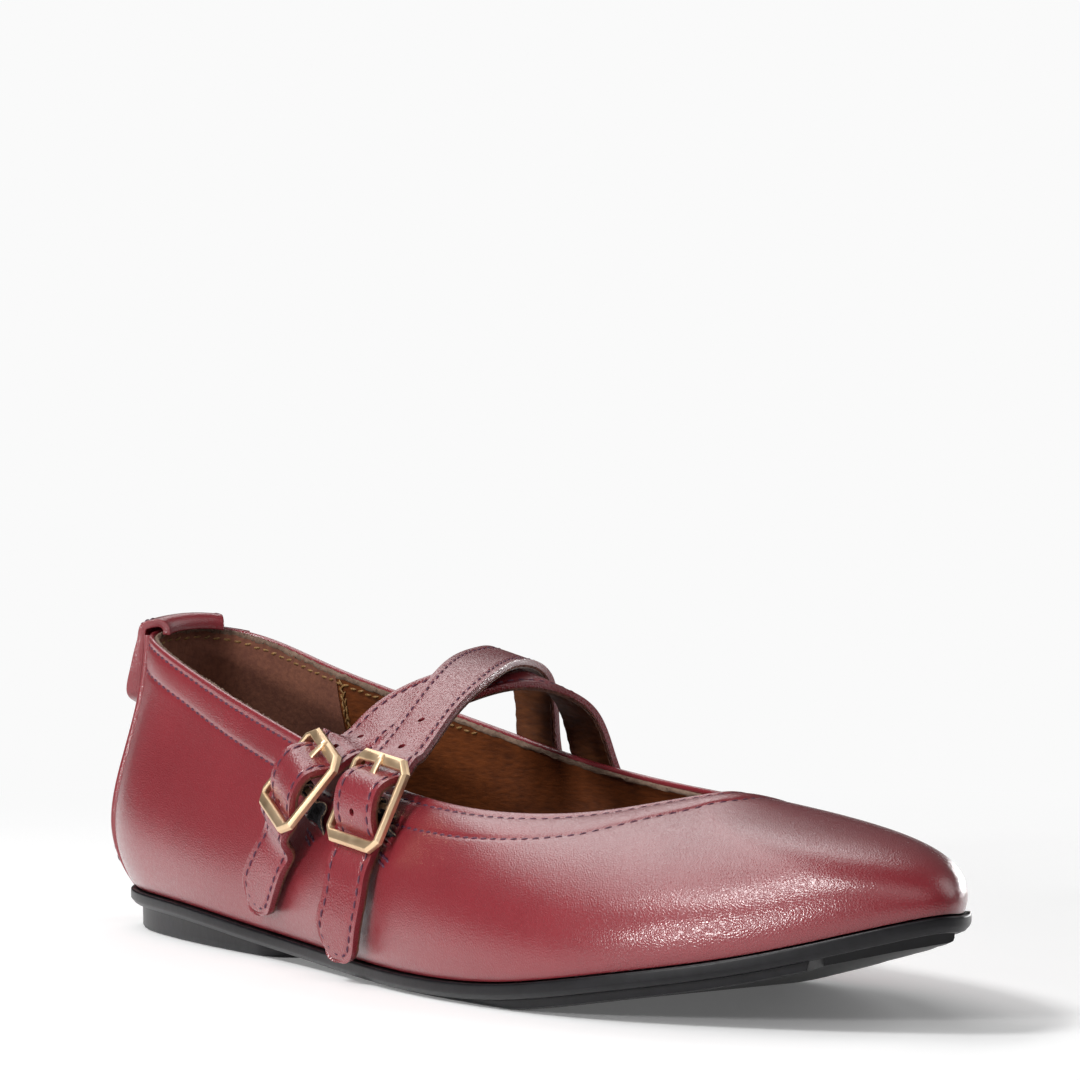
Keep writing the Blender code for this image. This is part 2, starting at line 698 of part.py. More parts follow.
def make_keeper(name, place, tree, collection, cutters):
    """Elastic loop that ties the centre bar to the upper, slotted for the prong."""
    radius = CENTRE_BAR_RADIUS + GAP + KEEPER_THICK
    centres = [in_frame(place, 0.3, a, h) for a, h in hook_route(radius, -50.0, 190.0, 12)]
    _, across, _, _ = frame_axes(place)
    sides = [-across] * len(centres)
    for along, shift, clear in ((-2.6, 0.9, 0.5), (-3.5, 1.2, 0.35), (-4.3, 1.5, 0.3)):
        face = max(height_of_upper(place, shift + edge, along, tree) for edge in (-4.0, 0.0, 4.0))
        centres.append(in_frame(place, shift, along, face + clear + KEEPER_THICK))
        sides.append(-across)
    path, _ = smooth_path(np.hstack([np.array(centres), np.array(sides)]), 0.9)
    widths = np.full(len(path), KEEPER_WIDTH)
    points, faces = ribbon(path[:, :3], path[:, 3:], widths, KEEPER_THICK)
    keeper = solid(name, points, faces, "elastic", collection)
    slot = []
    for height in (-3.0, 3.0):
        for along in (-2.8, 3.2):
            for x in (-0.5 * PRONG_WIDTH - GAP, 0.5 * PRONG_WIDTH + GAP):
                slot.append(in_frame(place, x, along, height))
    box = ((0, 1, 3, 2), (4, 6, 7, 5), (0, 4, 5, 1), (2, 3, 7, 6), (0, 2, 6, 4), (1, 5, 7, 3))
    cutter = solid(name + "_slot", slot, box, "elastic", cutters)
    apply_boolean(keeper, cutter, "DIFFERENCE")
    return keeper


def tab_rows():
    """Middle surface of the heel tab, one row of points for each path row."""
    outer_end, inner_end = strip_edges()
    ring = ring_places(2 * SIDE_SEGMENTS)
    whole = wall_points(ring, np.linspace(0.0, 1.0, 60))
    flat = outward(whole[-1])
    rows = []
    for down, middle, side, share, _ in TAB_PATH:
        row = []
        for t in np.linspace(-1.0, 1.0, TAB_COLUMNS):
            if t < 0:
                place = -t * share * TAB_REACH_OUTER * outer_end
            else:
                place = KNOTS[-1] - t * share * TAB_REACH_INNER * (KNOTS[-1] - inner_end)
            wall = np.stack([curve_at(ring, whole[:, :, k].T, [min(place, ring[-1])])[0] for k in range(3)], axis=-1)
            out_way = unit(curve_at(ring, flat, [min(place, ring[-1])])[0])
            level = wall[-1, 2] - max(down, 0.0)
            out = middle + (side - middle) * t * t + (BACK_STRIP_RISE if middle > 0 else 0.0)
            x = np.interp(level, wall[:, 2], wall[:, 0])
            y = np.interp(level, wall[:, 2], wall[:, 1])
            row.append(np.array((x, y, wall[-1, 2] - down)) + out * out_way)
        rows.append(row)
    return np.array(rows)


def make_heel_tab(collection):
    """Folded pull tab over the back of the collar."""
    middle = tab_rows()
    down = np.gradient(middle, axis=0)
    across = np.gradient(middle, axis=1)
    normal = unit(np.cross(down, across))
    count = TAB_COLUMNS
    rows = len(middle)
    half = 0.5 * np.array([row[4] for row in TAB_PATH])[:, None, None]
    loops = np.concatenate([middle + half * normal, (middle - half * normal)[:, ::-1]], axis=1)
    faces = ring_faces(2 * count, rows)
    faces += cap_faces(2 * count, 0) + cap_faces(2 * count, 2 * count * (rows - 1))
    return solid("heel_tab", loops.reshape(-1, 3), faces, "leather", collection)


def build():
    clear_scene()
    shoe = new_collection("buckled_strap_flat")
    cutters = new_collection("cutters")
    make_upper(shoe)
    make_outsole(shoe)
    make_insole(shoe)
    make_heel_tab(shoe)
    tree = outer_tree()
    for place, strap_name in (("rear", "strap_under"), ("front", "strap_over")):
        strap = make_strap(strap_name, place, tree, shoe)
        make_frame("buckle_frame_" + place, place, shoe, cutters)
        make_prong("prong_" + place, place, shoe)
        hole = make_prong("prong_hole_" + place, place, cutters, grow=0.35)
        apply_boolean(strap, hole, "DIFFERENCE")
        make_keeper("keeper_" + place, place, tree, shoe, cutters)
    for item in cutters.objects:
        item.hide_render = True
        item.display_type = "WIRE"


build()
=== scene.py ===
"""Finish and light for a right-foot burgundy flat with two crossing buckled straps.

The leather is cut as flat sheets and then laid over the last, and each strap is
cut and punched flat and then laid along its own path, as a shoemaker would.
Lengths in the tables are millimetres, counted from the back of the heel.
"""
import math

import bmesh
import bpy
import numpy as np
from mathutils import Matrix, Vector
from mathutils.bvhtree import BVHTree


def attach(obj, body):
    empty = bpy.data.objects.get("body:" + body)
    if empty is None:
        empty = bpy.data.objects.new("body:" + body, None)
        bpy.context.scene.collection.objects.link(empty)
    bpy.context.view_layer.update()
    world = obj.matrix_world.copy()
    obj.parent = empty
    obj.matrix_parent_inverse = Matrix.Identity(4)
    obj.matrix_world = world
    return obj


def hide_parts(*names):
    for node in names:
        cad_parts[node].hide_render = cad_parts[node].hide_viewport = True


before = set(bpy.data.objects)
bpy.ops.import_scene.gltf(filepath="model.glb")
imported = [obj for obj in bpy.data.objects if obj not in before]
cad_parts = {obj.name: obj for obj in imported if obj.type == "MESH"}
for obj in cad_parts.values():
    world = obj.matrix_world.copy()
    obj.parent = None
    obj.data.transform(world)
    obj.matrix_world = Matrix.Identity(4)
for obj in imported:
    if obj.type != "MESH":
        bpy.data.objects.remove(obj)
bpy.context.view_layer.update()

MM = 0.001
FOOTPRINT_MIDDLE = np.array((123.4, -2.0, 0.0))

# ------------------------------------------------------------------ the last
# One row per section round the shoe: heel, outer side, toe, inner side.
# fx fy: feather line; tx ty tz: topline; rise bulge: lower handle of the wall's
# curve, up and out; reach drop: upper handle, out and down from the topline.
SECTIONS = np.array((
    # fx,    fy,    tx,    ty,   tz,  rise, bulge, reach, drop
    (0.9,    0.0,   6.5,   0.0, 59.2, 15.0, 9.8,  0.5, 24.0),
    (5.8,  -10.9,   8.5,  -9.3, 58.4, 15.0, 10.3,  0.5, 24.0),
    (14.8, -17.4,  15.5, -14.0, 57.0, 15.5, 9.5,  0.8, 22.0),
    (32.0, -22.8,  33.5, -17.2, 52.6, 16.0, 6.6,  1.0, 18.5),
    (58.0, -26.7,  59.0, -20.4, 47.0, 14.8, 4.8,  1.5, 15.2),
    (85.0, -28.8,  84.5, -23.2, 42.0, 12.8, 4.8,  2.6, 12.2),
    (112.0, -33.2, 108.5, -26.2, 37.8, 11.3, 4.5,  4.2, 10.0),
    (140.0, -38.6, 133.0, -28.2, 34.8, 10.5, 3.5,  8.0, 7.4),
    (168.0, -40.3, 154.0, -25.6, 33.5, 10.2, 2.5, 14.4, 5.6),
    (195.0, -37.0, 169.5, -17.6, 34.2, 10.5, 2.0, 20.8, 5.7),
    (219.0, -26.6, 179.5,  -9.3, 36.3, 11.0, 1.6, 28.0, 6.0),
    (238.5, -13.6, 184.3,  -3.4, 37.6, 11.6, 1.3, 34.0, 6.6),
    (249.2,   0.8, 185.6,   1.6, 38.0, 12.0, 1.3, 36.5, 6.6),
    (243.4,   9.3, 182.8,   6.4, 37.3, 10.2, 1.4, 34.5, 6.2),
    (224.5,  22.1, 177.0,  12.4, 36.0,  9.0, 1.7, 29.0, 5.4),
    (198.0,  33.0, 166.0,  20.8, 34.5,  8.5, 1.8, 21.5, 5.8),
    (172.0,  34.8, 150.0,  27.8, 34.0, 10.3, 2.6, 13.0, 6.2),
    (142.0,  29.0, 129.0,  30.0, 34.8, 12.4, 4.8,  7.7, 8.2),
    (112.0,  24.2, 105.5,  28.2, 37.4, 13.1, 6.3,  4.9, 10.5),
    (85.0,   23.2,  82.5,  24.8, 41.8, 14.0, 6.0,  3.6, 12.9),
    (58.0,   24.2,  57.6,  21.0, 46.8, 15.4, 5.5,  2.3, 15.0),
    (32.0,   24.0,  32.5,  17.0, 52.3, 16.8, 5.4,  1.8, 18.2),
    (14.4,   18.6,  15.0,  13.8, 56.8, 16.0, 9.0,  1.0, 22.2),
    (5.6,    11.8,   8.4,   9.2, 58.4, 15.5, 9.8,  0.5, 24.0),
))
TOE_ROW = 12

# Height of the feather line above the floor, and its lift on the inner side.
FEATHER = np.array((
    # x,    z
    (0.0,   8.0),
    (25.0,  8.1),
    (50.0,  7.5),
    (75.0,  5.8),
    (100.0, 4.5),
    (125.0, 3.9),
    (150.0, 3.9),
    (170.0, 4.8),
    (200.0, 8.9),
    (225.0, 13.7),
    (250.0, 21.3),
))
INNER_LIFT = np.array((
    # x,    lift
    (0.0,   0.0),
    (140.0, 0.0),
    (158.0, 0.7),
    (172.0, 1.6),
    (195.0, 3.5),
    (208.0, 4.0),
    (222.0, 4.0),
    (240.0, 2.5),
    (250.0, 0.0),
))
LIFT_START_Y = 10.0

BACK_STRIP_RISE = 0.9
RING_CELLS = 180            # cells from heel to toe on each side
CROWDING = 0.6              # how far those cells are drawn towards heel and toe
WALL_COLUMNS = 721          # grid on which the wall's length is measured
WALL_ROWS = 161


def unit(vectors):
    vectors = np.asarray(vectors, float)
    return vectors / np.linalg.norm(vectors, axis=-1, keepdims=True)


def curve_slopes(knots, rows, closed):
    """Second derivatives of the cubic curve through rows at the knots."""
    count = len(rows)
    steps = np.diff(knots)
    system = np.zeros((count, count))
    right = np.zeros(rows.shape)
    if not closed:
        system[0, 0] = system[-1, -1] = 1.0
    for i in range(0 if closed else 1, count if closed else count - 1):
        before, after = (i - 1) % count, (i + 1) % count
        system[i, before] += steps[i - 1]
        system[i, i] += 2.0 * (steps[i - 1] + steps[i])
        system[i, after] += steps[i]
        right[i] = 6.0 * ((rows[after] - rows[i]) / steps[i] - (rows[i] - rows[before]) / steps[i - 1])
    return np.linalg.solve(system, right)


class Curve:
    """Smooth curve through rows, one row per knot."""

    def __init__(self, knots, rows, closed=False):
        self.knots = np.asarray(knots, float)
        self.rows = np.asarray(rows, float)
        self.slopes = curve_slopes(self.knots, self.rows, closed)
        self.closed = closed

    def at(self, places):
        places = np.asarray(places, float)
        if self.closed:
            places = places % self.knots[-1]
        else:
            places = np.clip(places, self.knots[0], self.knots[-1])
        index = np.clip(np.searchsorted(self.knots, places, side="right") - 1, 0, len(self.knots) - 2)
        after = (index + 1) % len(self.rows)
        step = (self.knots[index + 1] - self.knots[index])[:, None]
        ahead = (places - self.knots[index])[:, None]
        left = step - ahead
        curved = (self.slopes[index] * left ** 3 + self.slopes[after] * ahead ** 3) / (6.0 * step)
        near = (self.rows[index] / step - self.slopes[index] * step / 6.0) * left
        far = (self.rows[after] / step - self.slopes[after] * step / 6.0) * ahead
        return curved + near + far


def section_knots():
    ahead = np.roll(SECTIONS, -1, axis=0) - SECTIONS
    steps = np.hypot(ahead[:, 0], ahead[:, 1]) + 0.5 * np.hypot(ahead[:, 2], ahead[:, 3])
    return np.concatenate([[0.0], np.cumsum(steps)])


KNOTS = section_knots()
ROUND = KNOTS[-1]           # one full turn round the shoe
TOE = KNOTS[TOE_ROW]
SECTION_CURVE = Curve(KNOTS, SECTIONS, closed=True)
FEATHER_CURVE = Curve(FEATHER[:, 0], FEATHER[:, 1:])


def feather_height(x, y):
    share = np.clip(np.asarray(y) / LIFT_START_Y, 0.0, 1.0)
    return FEATHER_CURVE.at(x)[:, 0] + share * np.interp(x, INNER_LIFT[:, 0], INNER_LIFT[:, 1])


def outward(places, column):
    """Outward direction in plan at ring places; column 0 feather, 2 topline."""
    beyond, before = (SECTION_CURVE.at(places + step)[:, column:column + 2] for step in (0.4, -0.4))
    ahead = beyond - before
    flat = unit(np.stack([ahead[:, 1], -ahead[:, 0]], axis=-1))
    return np.concatenate([flat, np.zeros((len(flat), 1))], axis=1)


def wall_face(places, heights):
    """Outer face of the last at ring places, and heights from 0 feather to 1 topline."""
    table = SECTION_CURVE.at(places)
    fx, fy, tx, ty, tz, rise, bulge, reach, drop = table.T
    feather = np.stack([fx, fy, feather_height(fx, fy)], axis=-1)
    top = np.stack([tx, ty, tz], axis=-1)
    up = np.array([0.0, 0.0, 1.0])
    low = feather + rise[:, None] * up + bulge[:, None] * outward(places, 0)
    high = top + reach[:, None] * outward(places, 2) - drop[:, None] * up
    v = np.asarray(heights, float)[:, None]
    u = 1.0 - v
    return u ** 3 * feather + 3 * u ** 2 * v * low + 3 * u * v ** 2 * high + v ** 3 * top


def wall_normal(places, heights):
    heights = np.clip(heights, 0.004, 0.996)
    along = wall_face(places + 0.6, heights) - wall_face(places - 0.6, heights)
    rising = wall_face(places, heights + 0.004) - wall_face(places, heights - 0.004)
    return unit(np.cross(along, rising))


def measure_wall():
    """For ring places, the wall's length and the height at each distance down."""
    places = np.linspace(0.0, ROUND, WALL_COLUMNS)
    heights = np.linspace(1.0, 0.0, WALL_ROWS)
    grid = np.stack([wall_face(places, np.full(len(places), h)) for h in heights], axis=1)
    steps = np.linalg.norm(np.diff(grid, axis=1), axis=2)
    down = np.concatenate([np.zeros((len(places), 1)), np.cumsum(steps, axis=1)], axis=1)
    return places, heights, down


WALL_PLACES, WALL_HEIGHTS, WALL_DOWN = measure_wall()
DOWN_STEPS = np.linspace(0.0, 1.0, WALL_ROWS)
WALL_LENGTH = WALL_DOWN[:, -1]
HEIGHT_AT = np.array([np.interp(DOWN_STEPS, row / row[-1], WALL_HEIGHTS) for row in WALL_DOWN])


def wall_length(places):
    return np.interp(places % ROUND, WALL_PLACES, WALL_LENGTH)


def height_at(places, shares):
    """Height on the wall at a share of its length down from the topline."""
    places = places % ROUND
    column = np.clip(places / ROUND * (len(WALL_PLACES) - 1), 0, len(WALL_PLACES) - 1.001)
    row = np.clip(shares, 0.0, 1.0) * (len(DOWN_STEPS) - 1)
    row = np.minimum(row, len(DOWN_STEPS) - 1.001)
    c, r = column.astype(int), row.astype(int)
    dc, dr = column - c, row - r
    near = HEIGHT_AT[c, r] * (1 - dr) + HEIGHT_AT[c, r + 1] * dr
    far = HEIGHT_AT[c + 1, r] * (1 - dr) + HEIGHT_AT[c + 1, r + 1] * dr
    return near * (1 - dc) + far * dc


def on_wall(places, down, lift):
    """Point at a ring place, a distance down from the topline and out of the face."""
    places = np.asarray(places, float)
    down = np.asarray(down, float) + 0.0 * places
    lift = np.asarray(lift, float) + 0.0 * places
    heights = height_at(places, down / wall_length(places))
    normal = wall_normal(places, heights)
    return wall_face(places, heights) + lift[:, None] * normal


def strip_edges():
    """Ring places where the back strip ends, outer side and inner side."""
    return 0.5 * (KNOTS[1] + KNOTS[2]), 0.5 * (KNOTS[-2] + KNOTS[-3])


def crowded_shares(cells):
    share = np.linspace(0.0, 1.0, cells + 1)
    return share - CROWDING * np.sin(2.0 * math.pi * share) / (2.0 * math.pi)


def ring_places(cells):
    """Places from heel to toe on the outer side and back on the inner side."""
    share = crowded_shares(cells)
    outer = TOE * share
    inner = ROUND + (TOE - ROUND) * share
    return np.concatenate([outer, inner[-2::-1]])


# ------------------------------------------------------------- modelling aids
def deselect_all():
    bpy.ops.object.select_all(action="DESELECT")


def make_active(item):
    deselect_all()
    item.select_set(True)
    bpy.context.view_layer.objects.active = item


def corners(item):
    flat = np.empty(len(item.data.vertices) * 3)
    item.data.vertices.foreach_get("co", flat)
    return flat.reshape(-1, 3)


def set_corners(item, places):
    item.data.vertices.foreach_set("co", np.asarray(places, float).ravel())
    item.data.update()


def to_row_frame(points):
    return (np.asarray(points) - FOOTPRINT_MIDDLE) * MM


def flat_sheet(name, long, wide):
    """A flat sheet of cells; its corners lie at the given lengths and widths."""
    deselect_all()
    bpy.ops.mesh.primitive_grid_add(x_subdivisions=len(long) - 1, y_subdivisions=len(wide) - 1, size=1.0)
    item = bpy.context.object
    item.name = item.data.name = name
    flat = corners(item)
    column = whole((flat[:, 0] + 0.5) * (len(long) - 1))
    row = whole((flat[:, 1] + 0.5) * (len(wide) - 1))
    places = (np.asarray(long)[column], np.asarray(wide)[row], np.zeros(len(flat)))
    set_corners(item, np.stack(places, axis=-1))
    return item


def whole(values):
    return np.rint(values).astype(int)


def square_to(ways, ahead):
    """Directions of length one, turned square to the ones ahead."""
    return unit(ways - ahead * (ways * ahead).sum(axis=1, keepdims=True))


def clean(item, distance=0.00001, normals=True):
    """Merges doubled corners and turns the faces outward."""
    body = bmesh.new()
    body.from_mesh(item.data)
    bmesh.ops.remove_doubles(body, verts=body.verts, dist=distance)
    if normals:
        bmesh.ops.recalc_face_normals(body, faces=body.faces)
    body.to_mesh(item.data)
    body.free()


def cap_ends(item):
    """Fills every open edge loop."""
    make_active(item)
    bpy.ops.object.mode_set(mode="EDIT")
    bpy.ops.mesh.select_all(action="DESELECT")
    bpy.ops.mesh.select_mode(type="EDGE")
    bpy.ops.mesh.select_non_manifold(extend=False, use_multi_face=False,
                                     use_non_contiguous=False, use_verts=False)
    bpy.ops.mesh.edge_face_add()
    bpy.ops.mesh.select_mode(type="VERT")
    bpy.ops.object.mode_set(mode="OBJECT")


def modify(item, kind, **settings):
    """Adds a modifier and applies it at once."""
    step = item.modifiers.new(kind.lower(), kind)
    for key, value in settings.items():
        setattr(step, key, value)
    make_active(item)
    bpy.ops.object.modifier_apply(modifier=step.name)


def bore(item, place, radius, vertices, turn=(0.0, 0.0, 0.0)):
    """Cuts a round hole or groove 4 mm long through a piece that is still flat."""
    deselect_all()
    bpy.ops.mesh.primitive_cylinder_add(vertices=vertices, radius=radius, depth=4.0,
                                        location=place, rotation=turn)
    cutter = bpy.context.object
    modify(item, "BOOLEAN", operation="DIFFERENCE", object=cutter, solver="EXACT")
    bpy.data.objects.remove(cutter)


def bevel(item, width, segments, angle):
    modify(item, "BEVEL", width=width, segments=segments, limit_method="ANGLE",
           angle_limit=math.radians(angle))


def finish_piece(item, finish, stands_for=(), angle=40.0):
    """Gives a piece its material, smooth shading and body, and hides the solids it stands for."""
    item.data.materials.clear()
    item.data.materials.append(finish)
    make_active(item)
    bpy.ops.object.shade_smooth_by_angle(angle=math.radians(angle))
    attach(item, "root")
    if stands_for:
        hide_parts(*stands_for)
    return item


def copies(name, model, places):
    """One mesh holding a copy of the model at each (origin, ahead, side, out)."""
    shape = corners(model)
    faces = [tuple(face.vertices) for face in model.data.polygons]
    points, all_faces = [], []
    for k, (origin, ahead, side, out) in enumerate(places):
        points.append(origin + shape[:, :1] * ahead + shape[:, 1:2] * side + shape[:, 2:] * out)
        all_faces.extend(tuple(v + k * len(shape) for v in face) for face in faces)
    mesh = bpy.data.meshes.new(name)
    mesh.from_pydata(to_row_frame(np.concatenate(points)).tolist(), [], all_faces)
    item = bpy.data.objects.new(name, mesh)
    bpy.context.scene.collection.objects.link(item)
    return item


# ----------------------------------------------------------------- materials
def hex_colour(code):
    """sRGB hex to linear."""
    parts = [int(code[i:i + 2], 16) / 255.0 for i in (1, 3, 5)]
    linear = [p / 12.92 if p <= 0.04045 else ((p + 0.055) / 1.055) ** 2.4 for p in parts]
    return (*linear, 1.0)


def add_node(tree, kind, inputs=None, **settings):
    """Adds a node with its settings; inputs hold values or (node, output) links."""
    made = tree.nodes.new(kind)
    for key, value in settings.items():
        setattr(made, key, value)
    for key, value in (inputs or {}).items():
        if isinstance(value, tuple) and len(value) == 2 and isinstance(value[0], bpy.types.Node):
            tree.links.new(value[0].outputs[value[1]], made.inputs[key])
        else:
            made.inputs[key].default_value = value
    return made


def new_finish(name):
    finish = bpy.data.materials.new(name)
    finish.use_nodes = True
    tree = finish.node_tree
    return finish, tree, tree.nodes["Principled BSDF"]


def set_ramp(ramp, stops):
    elements = ramp.color_ramp.elements
    while len(elements) > 1:
        elements.remove(elements[-1])
    for k, (position, colour) in enumerate(stops):
        stop = elements[0] if k == 0 else elements.new(position)
        stop.position = position
        stop.color = colour


def calf_leather(name, deep, bright, grain_mm, depth_mm):
    """Corrected-grain calf: aniline-dyed and waxed, fine pores that the wax half fills."""
    finish, tree, shader = new_finish(name)
    place = add_node(tree, "ShaderNodeTexCoord")
    cloud = add_node(tree, "ShaderNodeTexNoise", {"Vector": (place, "Object"), "Scale": 45.0,
                                                  "Detail": 4.0, "Roughness": 0.55})
    tone = add_node(tree, "ShaderNodeValToRGB", {"Fac": (cloud, "Fac")})
    set_ramp(tone, ((0.30, hex_colour(deep)), (0.72, hex_colour(bright))))
    pores = add_node(tree, "ShaderNodeTexVoronoi",
                     {"Vector": (place, "Object"), "Scale": 1.0 / (grain_mm * MM)},
                     feature="DISTANCE_TO_EDGE")
    creases = add_node(tree, "ShaderNodeMapRange",
                       {"Value": (pores, "Distance"), "From Min": 0.0, "From Max": 0.35})
    fine = add_node(tree, "ShaderNodeTexNoise",
                    {"Vector": (place, "Object"), "Scale": 0.6 / (grain_mm * MM), "Detail": 6.0})
    relief = add_node(tree, "ShaderNodeMath", {0: (creases, "Result"), 1: (fine, "Fac")}, operation="ADD")
    bump, film = (add_node(tree, "ShaderNodeBump", {"Height": (relief, "Value"), "Strength": 1.0,
                                                    "Distance": share * depth_mm * MM})
                  for share in (1.0, 0.6))
    tree.links.new(tone.outputs["Color"], shader.inputs["Base Color"])
    tree.links.new(bump.outputs["Normal"], shader.inputs["Normal"])
    polish = add_node(tree, "ShaderNodeMapRange", {"Value": (fine, "Fac"), "From Min": 0.3, "From Max": 0.7,
                                                  "To Min": 0.37, "To Max": 0.48})
    tree.links.new(polish.outputs["Result"], shader.inputs["Roughness"])
    shader.inputs["Specular IOR Level"].default_value = 0.3
    shader.inputs["Coat Weight"].default_value = 1.0
    shader.inputs["Coat Roughness"].default_value = 0.22
    tree.links.new(film.outputs["Normal"], shader.inputs["Coat Normal"])
    return finish


def plain_finish(name, stops, roughness, noise=(), voronoi=0.0, cloud=(), stretch=(), relief_mm=0.0):
    """One fine pattern that tints and raises the surface, with a broad cloud or without."""
    finish, tree, shader = new_finish(name)
    place = add_node(tree, "ShaderNodeTexCoord")
    where = (place, "Object")
    if stretch:
        where = (add_node(tree, "ShaderNodeMapping", {"Vector": where, "Scale": stretch}), "Vector")
    if noise:
        fine = (add_node(tree, "ShaderNodeTexNoise",
                         {"Vector": where, "Scale": noise[0], "Detail": noise[1]}), "Fac")
    else:
        fine = (add_node(tree, "ShaderNodeTexVoronoi", {"Vector": where, "Scale": voronoi}), "Distance")
    tint = fine
    if cloud:
        broad = add_node(tree, "ShaderNodeTexNoise",
                         {"Vector": (place, "Object"), "Scale": cloud[0], "Detail": cloud[1]})
        both = add_node(tree, "ShaderNodeMath", {0: fine, 1: (broad, "Fac")}, operation="ADD")
        tint = (add_node(tree, "ShaderNodeMath", {0: (both, "Value"), 1: 0.5}, operation="MULTIPLY"), "Value")
    tone = add_node(tree, "ShaderNodeValToRGB", {"Fac": tint})
    set_ramp(tone, [(share, hex_colour(code)) for share, code in stops])
    tree.links.new(tone.outputs["Color"], shader.inputs["Base Color"])
    if relief_mm:
        bump = add_node(tree, "ShaderNodeBump", {"Height": fine, "Strength": 1.0, "Distance": relief_mm * MM})
        tree.links.new(bump.outputs["Normal"], shader.inputs["Normal"])
    shader.inputs["Roughness"].default_value = roughness
    return finish, tree, shader, fine


def suede(name, deep, bright):
    """Split leather, buffed: no gloss, soft clouded nap."""
    return plain_finish(name, ((0.36, deep), (0.64, bright)), 0.92, (900.0, 5.0),
                        cloud=(60.0, 3.0), relief_mm=0.15)[0]


def brushed_lining(name, deep, bright):
    """Drum-dyed pigskin lining: brown, faintly glossy, with a drawn-out fibre grain."""
    return plain_finish(name, ((0.36, deep), (0.64, bright)), 0.5, (1500.0, 4.0), cloud=(70.0, 3.0),
                        stretch=(0.22, 1.0, 1.0), relief_mm=0.12)[0]


def moulded_rubber(name):
    """Moulded black rubber: low gloss, faint clouding from the mould."""
    finish, _, shader, _ = plain_finish(name, ((0.35, "#0c0b0e"), (0.70, "#151418")), 0.38, (400.0, 4.0),
                                        relief_mm=0.05)
    shader.inputs["Specular IOR Level"].default_value = 0.3
    return finish


def gold_plate(name):
    """Zinc casting brushed and plated pale gold: a satin sheen that spreads every light."""
    finish, tree, shader, haze = plain_finish(name, ((0.30, "#e6c49c"), (0.70, "#efd2ae")), 0.42,
                                              (260.0, 2.0))
    polish = add_node(tree, "ShaderNodeMapRange", {"Value": haze, "From Min": 0.3, "From Max": 0.7,
                                                  "To Min": 0.38, "To Max": 0.46})
    tree.links.new(polish.outputs["Result"], shader.inputs["Roughness"])
    shader.inputs["Metallic"].default_value = 1.0
    return finish


def spun_thread(name, deep, bright):
    """Bonded nylon sewing thread: soft lustre, darker where the plies meet."""
    return plain_finish(name, ((0.35, deep), (0.65, bright)), 0.6, (2500.0, 2.0))[0]


def woven_elastic(name):
    """Black woven elastic: ribs across, matt."""
    return plain_finish(name, ((0.2, "#141317"), (0.8, "#2a282c")), 0.85, voronoi=1400.0, relief_mm=0.2)[0]


UPPER_LEATHER = calf_leather("burgundy_calf", "#7b222a", "#852830", 0.50, 0.035)
STRAP_LEATHER = calf_leather("burgundy_strap_calf", "#7b222a", "#862932", 0.60, 0.06)
HEEL_SUEDE = suede("brown_heel_suede", "#6a3e30", "#86543f")
LINING = brushed_lining("brown_lining", "#4a220a", "#733b17")
RAW_EDGE = suede("raw_lining_edge", "#5f4a3c", "#8a7262")
CUT_EDGE = suede("cut_strap_edge", "#4a2622", "#7a4c3c")
STRAP_BACK = brushed_lining("strap_lining", "#40200f", "#6a3c1e")
RUBBER = moulded_rubber("black_moulded_rubber")
GOLD = gold_plate("pale_gold_plate")
THREAD = spun_thread("purple_thread", "#3a1428", "#5a2844")
ELASTIC = woven_elastic("black_woven_elastic")
SELVEDGE = spun_thread("elastic_selvedge", "#4a4038", "#a08c74")
GOLD_THREAD = spun_thread("gold_brown_thread", "#6b4a26", "#9c7644")

# ------------------------------------------------------- stitches, one model
STITCH_LENGTH = 1.9
STITCH_WIDTH = 0.52
STITCH_HEIGHT = 0.40
STITCH_PITCH = 2.35


def make_stitch():
    """One thread stitch lying along X, its ends pulled down into the needle holes."""
    deselect_all()
    bpy.ops.mesh.primitive_uv_sphere_add(segments=8, ring_count=6, radius=0.5)
    item = bpy.context.object
    item.name = item.data.name = "stitch_model"
    make_active(item)
    bpy.ops.object.mode_set(mode="EDIT")
    bpy.ops.mesh.select_all(action="SELECT")
    bpy.ops.transform.rotate(value=math.pi / 2, orient_axis="Y", center_override=(0.0, 0.0, 0.0))
    bpy.ops.transform.resize(value=(STITCH_LENGTH, STITCH_WIDTH, STITCH_HEIGHT),
                             center_override=(0.0, 0.0, 0.0))
    bpy.ops.object.mode_set(mode="OBJECT")
    shape = corners(item)
    shape[:, 2] -= 0.25 * (2.0 * np.abs(shape[:, 0]) / STITCH_LENGTH) ** 3
    set_corners(item, shape)
    return item


STITCH = make_stitch()


def along_line(line, pitch, start=0.5, end=0.5):
    """Even places on a polyline: the share of the way to each next corner."""
    steps = np.linalg.norm(np.diff(line, axis=0), axis=1)
    run = np.concatenate([[0.0], np.cumsum(steps)])
    count = max(int(round((run[-1] - (start + end) * pitch) / pitch)) + 1, 2)
    return run, np.linspace(start * pitch, run[-1] - end * pitch, count)


def read_line(line, run, places):
    return np.stack([np.interp(places, run, line[:, k]) for k in range(line.shape[1])], axis=-1)


